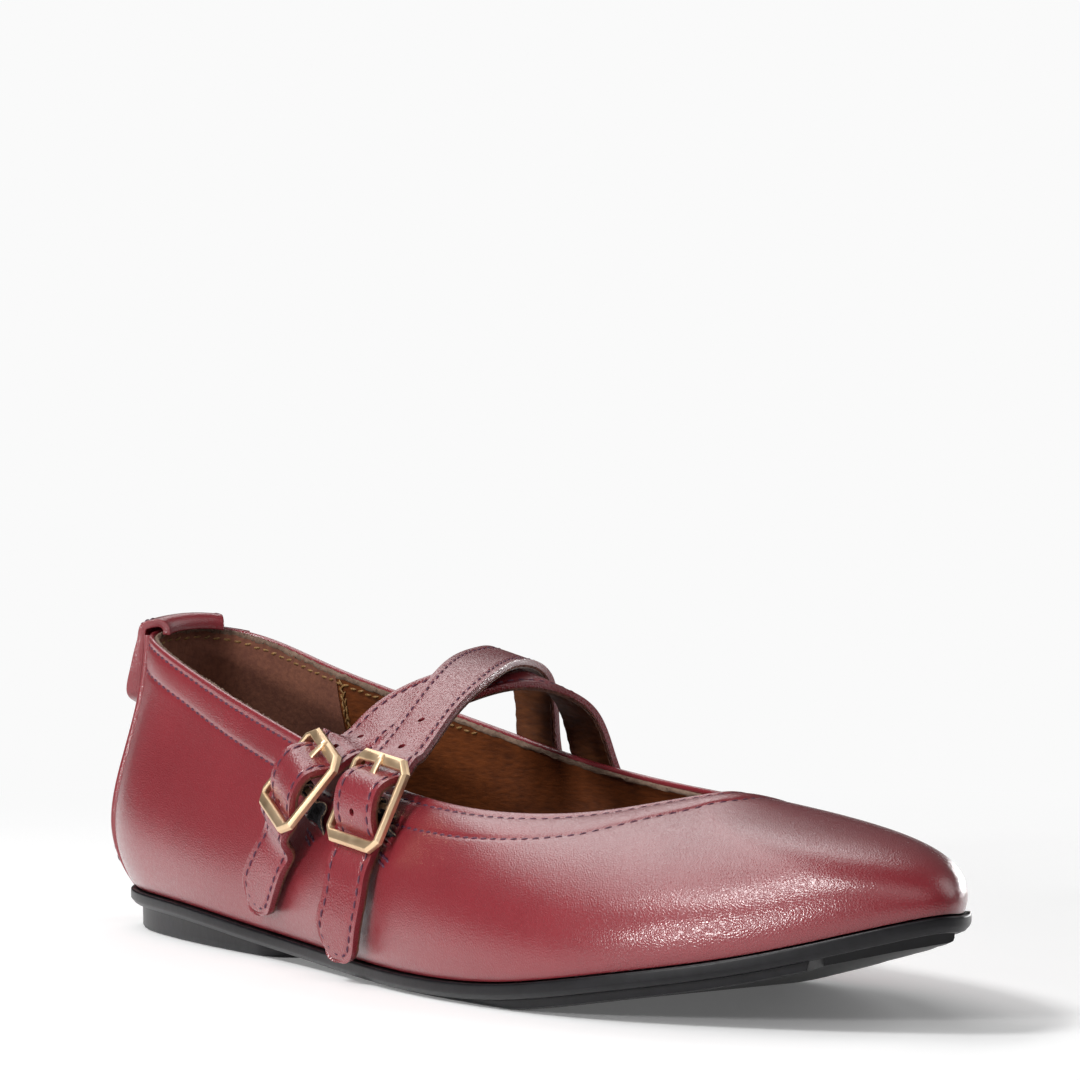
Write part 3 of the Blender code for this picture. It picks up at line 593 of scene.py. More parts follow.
def stitch_line(name, surface, flat_line, finish, pitch=STITCH_PITCH, slant=8.0, raise_by=0.02):
    """Stitches at an even pitch along a line drawn on a sheet, laid where it lies.

    surface(flat points) gives the points and the outward directions."""
    line, _ = surface(flat_line)
    run, places = along_line(line, pitch)
    here = read_line(flat_line, run, places)
    before = read_line(flat_line, run, np.maximum(places - 0.6, 0.0))
    beyond = read_line(flat_line, run, np.minimum(places + 0.6, run[-1]))
    origin, out = surface(here)
    ahead = unit(surface(beyond)[0] - surface(before)[0])
    out = square_to(out, ahead)
    side = np.cross(out, ahead)
    cos, sin = math.cos(math.radians(slant)), math.sin(math.radians(slant))
    ahead, side = cos * ahead + sin * side, cos * side - sin * ahead
    item = copies(name, STITCH, list(zip(origin + raise_by * out, ahead, side, out)))
    return finish_piece(item, finish, angle=60.0)


def tack_stitch(surface, here, step, raise_by, width, height):
    """One stitch of a bar tack: its place, and its length, width and height as directions."""
    here = np.array((here,))
    point, out = surface(here)
    ahead = unit(surface(here + np.array((step,)))[0] - point)
    out = square_to(out, ahead)
    return (point[0] + raise_by * out[0], 1.1 * ahead[0],
            width * np.cross(out[0], ahead[0]), height * out[0])


# ------------------------------------------------------------------ the upper
# Distance of the two rows of stitching below the collar's edge, by ring place
# counted from the heel as a share of the way to the toe.
STITCH_ROWS = np.array((
    # share, first, second
    (0.00, 1.5, 6.6),
    (0.16, 1.6, 6.7),
    (0.24, 1.8, 7.3),
    (0.35, 1.9, 7.6),
    (0.56, 1.8, 7.1),
    (0.62, 2.0, 7.6),
    (0.69, 2.5, 9.1),
    (0.74, 2.6, 10.1),
    (0.79, 2.3, 10.6),
    (0.85, 1.9, 9.0),
    (0.92, 1.7, 8.0),
    (1.00, 1.7, 5.6),
))


def share_to_toe(places):
    places = np.asarray(places, float) % ROUND
    return np.where(places <= TOE, places / TOE, (ROUND - places) / (ROUND - TOE))


def row_down(places, column):
    return np.interp(share_to_toe(places), STITCH_ROWS[:, 0], STITCH_ROWS[:, column])


# Rows of the leather from inside the collar's rolled edge down to the first row
# of stitching, the second, and on: weights of both rows, extra down, lift.
LEATHER_ROWS = (
    # first, second, extra, lift
    (0.0, 0.0, 1.10, -1.22),
    (0.0, 0.0, 0.60, -1.18),
    (0.0, 0.0, 0.22, -1.02),
    (0.0, 0.0, 0.05, -0.78),
    (0.0, 0.0, 0.00, -0.50),
    (0.0, 0.0, 0.12, -0.20),
    (0.0, 0.0, 0.38, -0.04),
    (0.0, 0.0, 0.80, 0.02),
    (1.0, 0.0, -0.50, 0.0),
    (1.0, 0.0, -0.25, 0.0),
    (1.0, 0.0, 0.0, 0.0),
    (1.0, 0.0, 0.25, 0.0),
    (1.0, 0.0, 0.50, 0.0),
    (0.85, 0.15, 0.10, 0.0),
    (0.66, 0.34, 0.0, 0.0),
    (0.50, 0.50, 0.0, 0.0),
    (0.34, 0.66, 0.0, 0.0),
    (0.17, 0.83, 0.0, 0.0),
    (0.0, 1.0, -0.70, 0.0),
    (0.0, 1.0, -0.35, 0.0),
    (0.0, 1.0, 0.0, 0.0),
    (0.0, 1.0, 0.35, 0.0),
    (0.0, 1.0, 0.70, 0.0),
    (0.0, 1.0, 1.30, 0.0),
)
LOWER_ROWS = 34


def leather_relief(places, down):
    """How far the leather stands off the last: pulled in along both stitch rows."""
    first, second = row_down(places, 1), row_down(places, 2)
    pull = -0.16 * np.exp(-((down - first) / 0.42) ** 2) - 0.20 * np.exp(-((down - second) / 0.55) ** 2)
    middle = np.clip((down - first) / (second - first), 0.0, 1.0)
    band = 0.22 * np.sin(math.pi * middle) ** 0.8
    return pull + band * (down > first)


def leather_point(places, down):
    """Point on the finished leather and its outward direction."""
    down = np.asarray(down, float) + 0.0 * places
    lift = leather_relief(places, down)
    heights = height_at(places, down / wall_length(places))
    normal = wall_normal(places, heights)
    return wall_face(places, heights) + lift[:, None] * normal, normal


def on_leather(flat):
    return leather_point(flat[:, 0], flat[:, 1])


def make_upper_leather():
    table = np.array(LEATHER_ROWS)
    count = len(table) + LOWER_ROWS
    item = flat_sheet("upper_leather", ring_places(RING_CELLS), np.arange(count))
    flat = corners(item)
    places, row = flat[:, 0], whole(flat[:, 1])
    upper = table[np.minimum(row, len(table) - 1)]
    share = np.maximum(row - len(table) + 1, 0) / LOWER_ROWS
    start = upper[:, 0] * row_down(places, 1) + upper[:, 1] * row_down(places, 2) + upper[:, 2]
    down = start * (1.0 - share) + wall_length(places) * share
    rolled = row < 8
    lift = np.where(rolled, upper[:, 3], leather_relief(places, down))
    lift = np.where(share > 0.999, -0.25, lift)
    set_corners(item, to_row_frame(on_wall(places, down, lift)))
    clean(item)
    face_out(item)
    return finish_piece(item, UPPER_LEATHER, ["upper"], angle=50.0)


def face_out(item, inward=False):
    """Turns an open sheet so that its faces look away from the shoe's middle line."""
    mesh = item.data
    centres = np.empty(len(mesh.polygons) * 3)
    mesh.polygons.foreach_get("center", centres)
    normals = np.empty(len(mesh.polygons) * 3)
    mesh.polygons.foreach_get("normal", normals)
    centres, normals = centres.reshape(-1, 3), normals.reshape(-1, 3)
    spine = np.zeros_like(centres)
    spine[:, 0] = np.clip(centres[:, 0], -0.09, 0.05)
    spine[:, 2] = 0.01
    looks_out = ((centres - spine) * normals).sum() > 0
    if looks_out == inward:
        make_active(item)
        bpy.ops.object.mode_set(mode="EDIT")
        bpy.ops.mesh.select_all(action="SELECT")
        bpy.ops.mesh.flip_normals()
        bpy.ops.object.mode_set(mode="OBJECT")


def make_lining(name, low, high, depth, rows, finish, start=0.9):
    """Lining sheet inside the wall, between two ring places."""
    places = ring_places(RING_CELLS)
    around = np.concatenate([places[places >= high] - ROUND, places[places <= low]])
    around = np.sort(np.unique(np.round(around, 6)))
    if low - high > -1.0:
        around = places
    item = flat_sheet(name, around, np.arange(rows + 1))
    flat = corners(item)
    share = flat[:, 1] / rows
    down = start + (wall_length(flat[:, 0]) - start) * share
    set_corners(item, to_row_frame(on_wall(flat[:, 0], down, -depth)))
    clean(item)
    face_out(item, inward=True)
    return finish_piece(item, finish)


HEEL_LINING_OUTER = 67.0    # ring places where the suede heel lining ends
HEEL_LINING_INNER = 676.0


def make_raw_edge():
    """Cut edge of the lining, standing just inside the rolled leather: frayed."""
    section = (
        # down, lift, fray
        (0.95, -1.20, 0.00),
        (0.55, -1.22, 0.05),
        (0.38, -1.40, 0.10),
        (0.40, -1.70, 0.12),
        (0.70, -1.98, 0.10),
        (1.15, -2.02, 0.14),
        (1.45, -1.86, 0.10),
        (1.50, -1.70, 0.00),
    )
    table = np.array(section)
    around = ring_places(RING_CELLS * 3)
    item = flat_sheet("raw_edge", around, np.arange(len(section)))
    flat = corners(item)
    row = whole(flat[:, 1])
    chance = np.random.default_rng(7)
    fray = chance.normal(0.0, 1.0, len(flat)) * table[row, 2]
    wave = 0.10 * np.sin(flat[:, 0] * 0.9) + 0.12 * np.sin(flat[:, 0] * 0.37 + 1.0)
    down = np.maximum(table[row, 0] + fray + wave * (row > 3), 0.1)
    set_corners(item, to_row_frame(on_wall(flat[:, 0], down, table[row, 1] + 0.6 * fray)))
    clean(item)
    face_out(item, inward=True)
    return finish_piece(item, RAW_EDGE, angle=60.0)


def make_back_strip():
    """Strip over the heel seam, its edges turned down onto the quarters."""
    outer_end, inner_end = strip_edges()
    low, high = inner_end - ROUND, outer_end
    edge = np.array((0.0, 0.15, 0.45, 0.9, 1.5, 2.4, 3.4))
    inside = np.linspace(low + 4.6, high - 4.6, 25)
    around = np.concatenate([low + edge, inside, high - edge[::-1]])
    rows = 46
    item = flat_sheet("back_strip", around, np.arange(rows + 1))
    flat = corners(item)
    from_edge = np.minimum(flat[:, 0] - low, high - flat[:, 0])
    share = flat[:, 1] / rows
    height = 1.0 - share
    rise = BACK_STRIP_RISE * (0.3 + 0.7 * np.clip(height * 4.0, 0.0, 1.0))
    turned = np.sqrt(np.clip(1.0 - (1.0 - np.clip(from_edge / 1.0, 0.0, 1.0)) ** 2, 0.0, 1.0))
    groove = 0.16 * np.exp(-((from_edge - 2.4) / 0.8) ** 2)
    lift = -0.15 + (rise + 0.15) * turned - groove
    down = share * wall_length(flat[:, 0])
    set_corners(item, to_row_frame(on_wall(flat[:, 0], down, lift)))
    clean(item)
    face_out(item)
    finish_piece(item, UPPER_LEATHER)

    def surface(points):
        top = on_wall(points[:, 0], points[:, 1], BACK_STRIP_RISE - 0.26)
        heights = height_at(points[:, 0], points[:, 1] / wall_length(points[:, 0]))
        return top, wall_normal(points[:, 0], heights)

    for side, place in (("outer", high - 2.4), ("inner", low + 2.4)):
        length = wall_length(np.array([place]))[0]
        line = np.stack([np.full(60, place), np.linspace(2.0, length - 5.0, 60)], axis=-1)
        stitch_line("back_strip_stitches_" + side, surface, line, THREAD)


def make_collar_stitches():
    """Two rows round the collar, from one edge of the back strip to the other."""
    outer_end, inner_end = strip_edges()
    around = np.linspace(outer_end + 1.5, inner_end - 1.5, 1200)
    for name, column in (("collar_stitches_edge", 1), ("collar_stitches_band", 2)):
        line = np.stack([around, row_down(around, column)], axis=-1)
        stitch_line(name, on_leather, line, THREAD)


make_upper_leather()
make_lining("lining", ROUND, 0.0, 1.80, 30, LINING)
make_lining("heel_lining", HEEL_LINING_OUTER, HEEL_LINING_INNER, 1.95, 30, HEEL_SUEDE)
make_raw_edge()
make_back_strip()
make_collar_stitches()

# ------------------------------------------------------------- sole and sock
SOLE_TOP_DROP = 0.3
BAND_HEIGHT = 2.9
BAND_OUT = 0.8
TREAD_INSET = 1.6
TREAD_ROUNDING = 0.8
TREAD_FLAT_INSET = 12.0
FOREFOOT_THICK = 5.2
WAIST_THICK = 3.6
TOE_THICK = 3.3
HEEL_BREAST_X = 81.0
HEEL_CORNER = 8.5           # the block's front corners are rounded
TREAD_START_X = 118.0
TREAD_END_X = 233.0
SOLE_CELLS = 170


def sole_bottom(x, y):
    feather = feather_height(x, y)
    hollow = np.maximum(feather - WAIST_THICK, 0.0)
    forefoot = np.maximum(feather - FOREFOOT_THICK, 0.0)
    height = np.where(x < HEEL_BREAST_X, 0.0, np.where(x < TREAD_START_X, hollow, forefoot))
    return np.where(x > TREAD_END_X, feather - TOE_THICK, height)


def sole_top(x, y):
    return feather_height(x, y) - SOLE_TOP_DROP


def under_band(x, y):
    return sole_top(x, y) - BAND_HEIGHT


def tread_edge(x, y):
    rounding = np.where(x < HEEL_BREAST_X, 0.4, TREAD_ROUNDING)
    return np.minimum(sole_bottom(x, y) + rounding, under_band(x, y) - 0.15)


def heel_corner(x):
    """How far the heel block's rounded front corners draw in from its sides."""
    run = np.clip((x - HEEL_BREAST_X + HEEL_CORNER) / HEEL_CORNER, 0.0, 1.0)
    return np.where(x < HEEL_BREAST_X, HEEL_CORNER * (1.0 - np.sqrt(1.0 - run ** 2)), 0.0)


def place_where_x(x, side):
    """Ring place where the feather line reaches x: outer side below 0, else inner."""
    low, high = (0.0, TOE) if side < 0 else (ROUND, TOE)
    for _ in range(40):
        middle = 0.5 * (low + high)
        if SECTION_CURVE.at(np.array([middle]))[0, 0] < x:
            low = middle
        else:
            high = middle
    return 0.5 * (low + high)


def sole_places():
    """Ring places, alike in number on both sides, doubled where a step falls."""
    share = crowded_shares(SOLE_CELLS)
    outer = list(TOE * share)
    inner = list(ROUND + (TOE - ROUND) * share)
    for x in (HEEL_BREAST_X, TREAD_END_X):
        for side, way in ((outer, 1.0), (inner, -1.0)):
            stop = place_where_x(x, -way)
            nearest = min(range(1, SOLE_CELLS), key=lambda k: abs(side[k] - stop))
            side[nearest] = stop - 0.25 * way
            side.insert(nearest + 1, stop + 0.25 * way)
    return np.array(outer + inner[-2::-1])


def beside_feather(places, out, corner, base, rise):
    """A ring drawn out from the feather line, at a rise over a base height."""
    table = SECTION_CURVE.at(places)
    ring = np.stack([table[:, 0], table[:, 1], np.zeros(len(places))], axis=-1)
    out = out - corner * heel_corner(table[:, 0])
    ring = ring + out[:, None] * outward(places, 0)
    ring[:, 2] = base(table[:, 0], table[:, 1]) + rise
    return ring


def wall_of_tread(rise):
    return lambda x, y: np.minimum(under_band(x, y) - 0.2, tread_edge(x, y) + rise)


SOLE_RINGS = (
    # out, share of the corner rounding, base height over (x, y), rise
    (-10.0, 0, sole_top, -0.05),
    (-2.0, 0, sole_top, 0.0),
    (BAND_OUT - 0.45, 0, sole_top, 0.0),
    (BAND_OUT - 0.18, 0, sole_top, -0.06),
    (BAND_OUT - 0.04, 0, sole_top, -0.22),
    (BAND_OUT, 0, sole_top, -0.45),
    (BAND_OUT, 0, under_band, 1.35),
    (BAND_OUT - 0.02, 0, under_band, 1.05),
    (BAND_OUT - 0.12, 0, under_band, 0.85),
    (BAND_OUT - 0.75, 0, under_band, 0.14),
    (BAND_OUT - 0.95, 0, under_band, 0.02),
    (-TREAD_INSET + 0.5, 0, under_band, -0.05),
    (-TREAD_INSET + 0.1, 1, under_band, -0.12),
    (-TREAD_INSET, 1, wall_of_tread(1.2), 0.0),
    (-TREAD_INSET, 1, wall_of_tread(0.1), 0.0),
    (-TREAD_INSET - 0.2, 1, lambda x, y: 0.6 * sole_bottom(x, y) + 0.4 * tread_edge(x, y), 0.0),
    (-TREAD_INSET - 1.0, 1, sole_bottom, 0.0),
    (-TREAD_FLAT_INSET, 0, lambda x, y: 0.5 * (sole_bottom(x, y) + sole_bottom(x, 0.0 * y)), 0.0),
)


def stacked_rings(name, places, rings, close_first=False, close_last=True):
    """A sheet laid ring by ring beside the feather line and closed down its middle."""
    rows = list(range(len(rings)))
    if close_last:
        rows.append(len(rings) - 1)
    if close_first:
        rows.insert(0, 0)
    closing = {len(rows) - 1} if close_last else set()
    closing |= {0} if close_first else set()
    item = flat_sheet(name, np.arange(len(places)), np.arange(len(rows)))
    flat = corners(item)
    column, row = whole(flat[:, 0]), whole(flat[:, 1])
    laid = np.zeros((len(flat), 3))
    for k, ring in enumerate(rows):
        here = row == k
        laid[here] = beside_feather(places[column[here]], *rings[ring])
        if k in closing:
            across = beside_feather(places[::-1][column[here]], *rings[ring])
            laid[here] = 0.5 * (laid[here] + across)
    set_corners(item, to_row_frame(laid))
    clean(item)
    return item


def make_outsole():
    """Band, tread and heel block of one moulded piece."""
    item = stacked_rings("moulded_outsole", sole_places(), SOLE_RINGS, close_first=True)
    return finish_piece(item, RUBBER, ["outsole"], angle=32.0)


def make_sock():
    """Sock lining over the insole: a soft cup that fills the shoe's floor."""
    rings = [(out, 0, feather_height, rise) for out, rise in (
        (-2.2, 1.6), (-2.2, 3.0), (-2.6, 3.25), (-3.4, 3.2), (-6.0, 2.8), (-10.0, 2.6))]
    item = stacked_rings("sock_lining", ring_places(SOLE_CELLS), rings)
    return finish_piece(item, LINING, ["insole"], angle=50.0)


make_outsole()
make_sock()

# --------------------------------------------------------------------- straps
STRAP_WIDTH = 12.0
STRAP_THICK = 1.8
STRAP_TIP = 5.5
STRAP_STITCH_INSET = 1.45
STRAP_TOP = 1.15            # leather, then the cut edge, then the backing
STRAP_MIDDLE = 0.40
HOLE_RADIUS = 0.72

FRAME_WIDTH = 16.9
FRAME_LENGTH = 18.4
FRAME_END_BAR = 2.3
FRAME_SIDE_BAR = 1.45
CENTRE_BAR_RADIUS = 0.55
CENTRE_BAR_DROP = 0.7
PRONG_WIDTH = 1.7
PRONG_THICK = 0.6
KEEPER_THICK = 0.7

BUCKLES = {
    "front": {"centre": (124.2, -35.5, 33.8), "across": (0.993, 0.019, -0.120),
              "along": (0.103, 0.387, 0.916)},
    "rear": {"centre": (97.8, -33.05, 35.7), "across": (0.905, -0.245, -0.365),
             "along": (0.425, 0.451, 0.785)},
}
BUCKLE_WAVE = (
    # along, height, shift
    (-8.8, -1.2,   0.0),
    (-7.4, -1.2,   0.0),
    (-6.7, -1.0,   0.0),
    (-5.9, -0.1,   0.0),
    (-4.6,  1.1,   0.0),
    (-3.0,  2.2,   0.0),
    (-1.2,  2.9,   0.0),
    (0.8,   3.3,   0.0),
    (2.6,   3.1,   0.0),
    (4.1,   2.2,   0.0),
    (5.1,   1.1,  -0.1),
    (6.0,  -0.2,  -0.1),
    (6.7,  -1.1,  -0.2),
    (7.6,  -1.55, -0.4),
    (8.5,  -1.95, -0.7),
    (9.4,  -2.5,  -1.1),
    (10.3, -3.3,  -1.6),
)
TAILS = {
    "front": (
        # along, shift, clear, lean: rise of the strap for each mm across it
        (-28.5, -2.6, 2.6, 0.0),
        (-25.5, -0.4, 2.2, 0.0),
        (-22.0,  1.1, 1.8, 0.0),
        (-17.5,  1.6, 1.4, 0.0),
        (-13.5,  0.9, 1.3, 0.0),
    ),
    "rear": (
        (-27.2, -7.3, 1.5, -0.28),
        (-24.0, -6.1, 1.4, -0.22),
        (-20.5, -4.8, 1.4, -0.17),
        (-16.5, -3.6, 1.5, -0.12),
        (-12.8, -2.4, 2.2, -0.06),
    ),
}
ARCHES = {
    "front": (
        # x,     y,     z,    turn, lean
        (122.4, -26.2, 43.5,  0.7,  6.5),
        (118.6, -19.1, 48.0,  7.9, -0.3),
        (110.4,  -4.4, 55.3, 21.8,  3.0),
        (97.1,   14.1, 57.6, 26.0,  9.9),
        (91.6,   23.9, 54.6, 18.5, 17.5),
        (90.1,   27.3, 48.4,  4.9, 11.5),
        (88.6,   29.3, 38.3,  5.0, 11.0),
        (88.8,   30.9, 30.9,  5.5,  6.0),
        (89.0,   31.2, 25.8,  6.0,  4.0),
    ),
    "rear": (
        (100.1, -22.3, 42.8, -13.0, 12.0),
        (99.3,  -16.6, 45.6, -10.0, 11.2),
        (100.8,  -3.9, 51.5,  -6.3, 20.1),
        (103.3,   7.4, 54.2,  -4.7, 13.2),
        (103.8,  18.2, 53.1,  -0.9, 11.9),
        (104.5,  26.1, 48.2,   2.4, 11.5),
        (104.3,  30.6, 38.6,   5.5,  9.0),
        (104.6,  32.8, 31.0,   7.5,  5.0),
        (104.9,  33.2, 26.2,   8.0,  3.0),
    ),
}


def last_tree():
    """The last's face as a tree of polygons, for laying straps close to it."""
    places = ring_places(80)[:-1]
    heights = np.linspace(0.0, 1.0, 26)
    rows = [wall_face(places, np.full(len(places), h)) for h in heights]
    rows.insert(0, rows[0] - np.array([0.0, 0.0, 10.0]))
    count = len(places)
    faces = []
    for r in range(len(rows) - 1):
        for k in range(count):
            a, b = r * count + k, r * count + (k + 1) % count
            faces.append((a, b, b + count, a + count))
    return BVHTree.FromPolygons([Vector(p) for p in np.concatenate(rows)], faces)


LAST_TREE = last_tree()


def frame_axes(place):
    """A buckle frame's centre and its across, along and outward directions."""
    spec = BUCKLES[place]
    across = unit(spec["across"])
    along = np.array(spec["along"])
    along = unit(along - across * (along @ across))
    return np.array(spec["centre"]), across, along, np.cross(across, along)


def in_frame(place, across, along, height):
    centre, side, up, out = frame_axes(place)
    return centre + across * side + along * up + height * out


def height_of_last(place, across, along):
    """Height of the last under a point of a buckle frame's plane."""
    _, _, _, out = frame_axes(place)
    start = in_frame(place, across, along, 20.0)
    _, _, _, distance = LAST_TREE.ray_cast(Vector(start), Vector(-out))
    return 20.0 - distance


def path_through(centres, sides, step=0.25):
    """Even stations on a smooth path: run, centre, ahead, side and out of each."""
    rows = np.hstack([np.array(centres), np.array(sides)])
    lengths = np.linalg.norm(np.diff(rows[:, :3], axis=0), axis=1)
    knots = np.concatenate([[0.0], np.cumsum(lengths)])
    places = np.linspace(0.0, knots[-1], int(round(knots[-1] / step)) + 1)
    read = Curve(knots, rows).at(places)
    centre = read[:, :3]
    ahead = unit(np.gradient(centre, axis=0))
    side = square_to(read[:, 3:], ahead)
    run = np.concatenate([[0.0], np.cumsum(np.linalg.norm(np.diff(centre, axis=0), axis=1))])
    return {"run": run, "centre": centre, "ahead": ahead, "side": side, "out": np.cross(side, ahead)}


def lay(path, flat):
    """Points of a flat strip (along, across, height) laid along a path."""
    run = np.clip(flat[:, 0], path["run"][0], path["run"][-1])
    read = {key: np.stack([np.interp(run, path["run"], path[key][:, k]) for k in range(3)], axis=-1)
            for key in ("centre", "ahead", "side", "out")}
    beyond = flat[:, :1] - run[:, None]
    side, out = unit(read["side"]), unit(read["out"])
    points = read["centre"] + beyond * read["ahead"] + flat[:, 1:2] * side + flat[:, 2:3] * out
    return points, out


def strap_path(place):
    """From the free end, through the frame, over the instep to the inner quarter."""
    _, across, _, out = frame_axes(place)
    centres, sides = [], []
    for along, shift, clear, lean in TAILS[place]:
        face = max(height_of_last(place, shift + edge, along) - lean * edge for edge in (-6.0, 0.0, 6.0))
        centres.append(in_frame(place, shift, along, face + clear + STRAP_THICK))
        sides.append(across + lean * out)
    for along, height, shift in BUCKLE_WAVE:
        centres.append(in_frame(place, shift, along, height))
        sides.append(across)
    for x, y, z, turn, lean in ARCHES[place]:
        a, b = math.radians(turn), math.radians(lean)
        centres.append(np.array((x, y, z)))
        sides.append(np.array((math.cos(a) * math.cos(b), math.sin(a) * math.cos(b), -math.sin(b))))
    return path_through(centres, sides)


def tip_half_width(along):
    share = np.clip(np.asarray(along) / STRAP_TIP, 0.0, 1.0)
    return 0.5 * STRAP_WIDTH * np.sqrt(np.clip(1.0 - (1.0 - share) ** 2.2, 0.0, 1.0))


def strap_rows(length, step):
    """Places along a strap, close together round its tip."""
    turn = np.linspace(0.0, 0.5 * math.pi, 13)
    tip = STRAP_TIP * (1.0 - np.cos(turn))
    return np.concatenate([tip[:-1], np.arange(STRAP_TIP, length, step), [length]])


def strap_layer(name, length, top, thick, inset, shares, relief, step=0.6):
    """One flat layer of a strap with a rounded tip, made solid downward."""
    item = flat_sheet(name, strap_rows(length, step), shares)
    flat = corners(item)
    share = flat[:, 1]
    half = np.maximum(tip_half_width(flat[:, 0]) - inset, 0.0)
    along = np.maximum(flat[:, 0], 0.0) + inset * np.clip(1.0 - flat[:, 0] / STRAP_TIP, 0.0, 1.0)
    flat = np.stack([along, share * half, top + relief(flat[:, 0], share)], axis=-1)
    set_corners(item, flat)
    clean(item, 0.01, normals=False)
    modify(item, "SOLIDIFY", thickness=thick, offset=-1.0)
    return item


STRAP_SHARES = np.array((-1.0, -0.95, -0.9, -0.86, -0.82, -0.79, -0.758, -0.725, -0.69, -0.63,
                         -0.5, -0.34, -0.17, 0.0))
STRAP_SHARES = np.concatenate([STRAP_SHARES, -STRAP_SHARES[-2::-1]])

# Punched holes: distance from the tip along each strap.
HOLES = {
    "front": (29.4, 48.0, 57.0),
    "rear": (27.4, 45.0, 52.0),
}


def strap_relief(along, share):
    """Slightly rounded face, pulled in along both rows of stitching."""
    inset = STRAP_STITCH_INSET / (0.5 * STRAP_WIDTH)
    groove = 0.15 * np.exp(-((np.abs(share) - (1.0 - inset)) * 0.5 * STRAP_WIDTH / 0.42) ** 2)
    return 0.10 * (1.0 - share ** 2) - groove


def make_strap(place, name):
    """Leather, cut edge, wrinkled backing and stitching of one strap."""
    path = strap_path(place)
    length = path["run"][-1]
    leather = strap_layer(name + "_leather", length, 0.0, STRAP_TOP, 0.0, STRAP_SHARES, strap_relief)
    for along in HOLES[place]:
        bore(leather, (along, 0.0, 0.0), HOLE_RADIUS, 20)
    bevel(leather, 0.38, 3, 60)
    set_corners(leather, to_row_frame(lay(path, corners(leather))[0]))
    finish_piece(leather, STRAP_LEATHER, [name], angle=50.0)

    chance = np.random.default_rng(11 if place == "front" else 12)
    edge = strap_layer(name + "_raw_edge", length, -STRAP_TOP + 0.05, STRAP_MIDDLE, 0.12,
                       np.array((-1.0, -0.97, -0.5, 0.0, 0.5, 0.97, 1.0)), lambda a, s: 0.0 * s, step=0.35)
    flat = corners(edge)
    rim = np.abs(flat[:, 1]) > 5.3
    flat[rim, 1] += np.sign(flat[rim, 1]) * chance.normal(0.0, 0.10, rim.sum())
    flat[rim, 2] += chance.normal(0.0, 0.05, rim.sum())
    set_corners(edge, to_row_frame(lay(path, flat)[0]))
    finish_piece(edge, CUT_EDGE, angle=60.0)

    def wrinkles(along, share):
        fade = np.clip((along - 90.0) / 20.0, 0.0, 1.0)
        ripple = np.sin(along * 2.1 + 1.2 * np.sin(along * 0.45) + 1.1 * share)
        return 0.07 * fade * (ripple + 0.5 * np.sin(along * 3.7 - 2.0 * share))
    backing = strap_layer(name + "_backing", length, -STRAP_TOP - STRAP_MIDDLE + 0.12, 0.34, 0.35,
                          np.linspace(-1.0, 1.0, 9), wrinkles)
    set_corners(backing, to_row_frame(lay(path, corners(backing))[0]))
    finish_piece(backing, STRAP_BACK, angle=60.0)

    round_tip = STRAP_TIP * (1.0 - np.sin(np.linspace(0.0, 0.5 * math.pi, 40)))
    sides = np.concatenate([np.linspace(length - 1.0, STRAP_TIP, 200), round_tip])
    outline = np.stack([sides, tip_half_width(sides)], axis=-1)
    outline = np.concatenate([outline, (outline * np.array((1.0, -1.0)))[-2::-1]])
    ahead = unit(np.gradient(outline, axis=0))
    inward = np.stack([-ahead[:, 1], ahead[:, 0]], axis=-1)
    line = outline - STRAP_STITCH_INSET * inward * np.sign((inward * (outline - np.array((60.0, 0.0)))).sum())
    line3 = np.hstack([line, np.full((len(line), 1), -0.06)])
    stitch_line(name + "_stitches", lambda flat: lay(path, flat), line3, THREAD)
    return path


PATHS = {"rear": make_strap("rear", "strap_under"), "front": make_strap("front", "strap_over")}

# ------------------------------------------------------------------- buckles
FRAME_CORNER = 2.4
WINDOW_CORNER = 0.5
REST_RADIUS = 1.35          # round groove in which the prong's tip lies
REST_HEIGHT = 1.65


def octagon(width, length, corner):
    """Closed eight-sided outline."""
    x, y = 0.5 * width, 0.5 * length
    return np.array(((x, y - corner), (x - corner, y), (-x + corner, y), (-x, y - corner), (-x, -y + corner),
                     (-x + corner, -y), (x - corner, -y), (x, -y + corner), (x, y - corner)))


# Section across a frame's bar: share of the way in from the outline, inset, height.
FRAME_SECTION = (
    # inside, inset, height
    (0, 0.00, -0.70),
    (0, 0.00, 0.12),
    (0, 0.50, 0.64),
    (0, 0.66, 0.70),
    (1, 0.38, 0.70),
    (1, 0.24, 0.64),
    (1, 0.00, 0.34),
    (1, 0.00, -0.70),
    (0, 0.00, -0.70),
)


def place_in_frame(place, flat):
    centre, side, up, out = frame_axes(place)
    return centre + flat[:, :1] * side + flat[:, 1:2] * up + flat[:, 2:3] * out


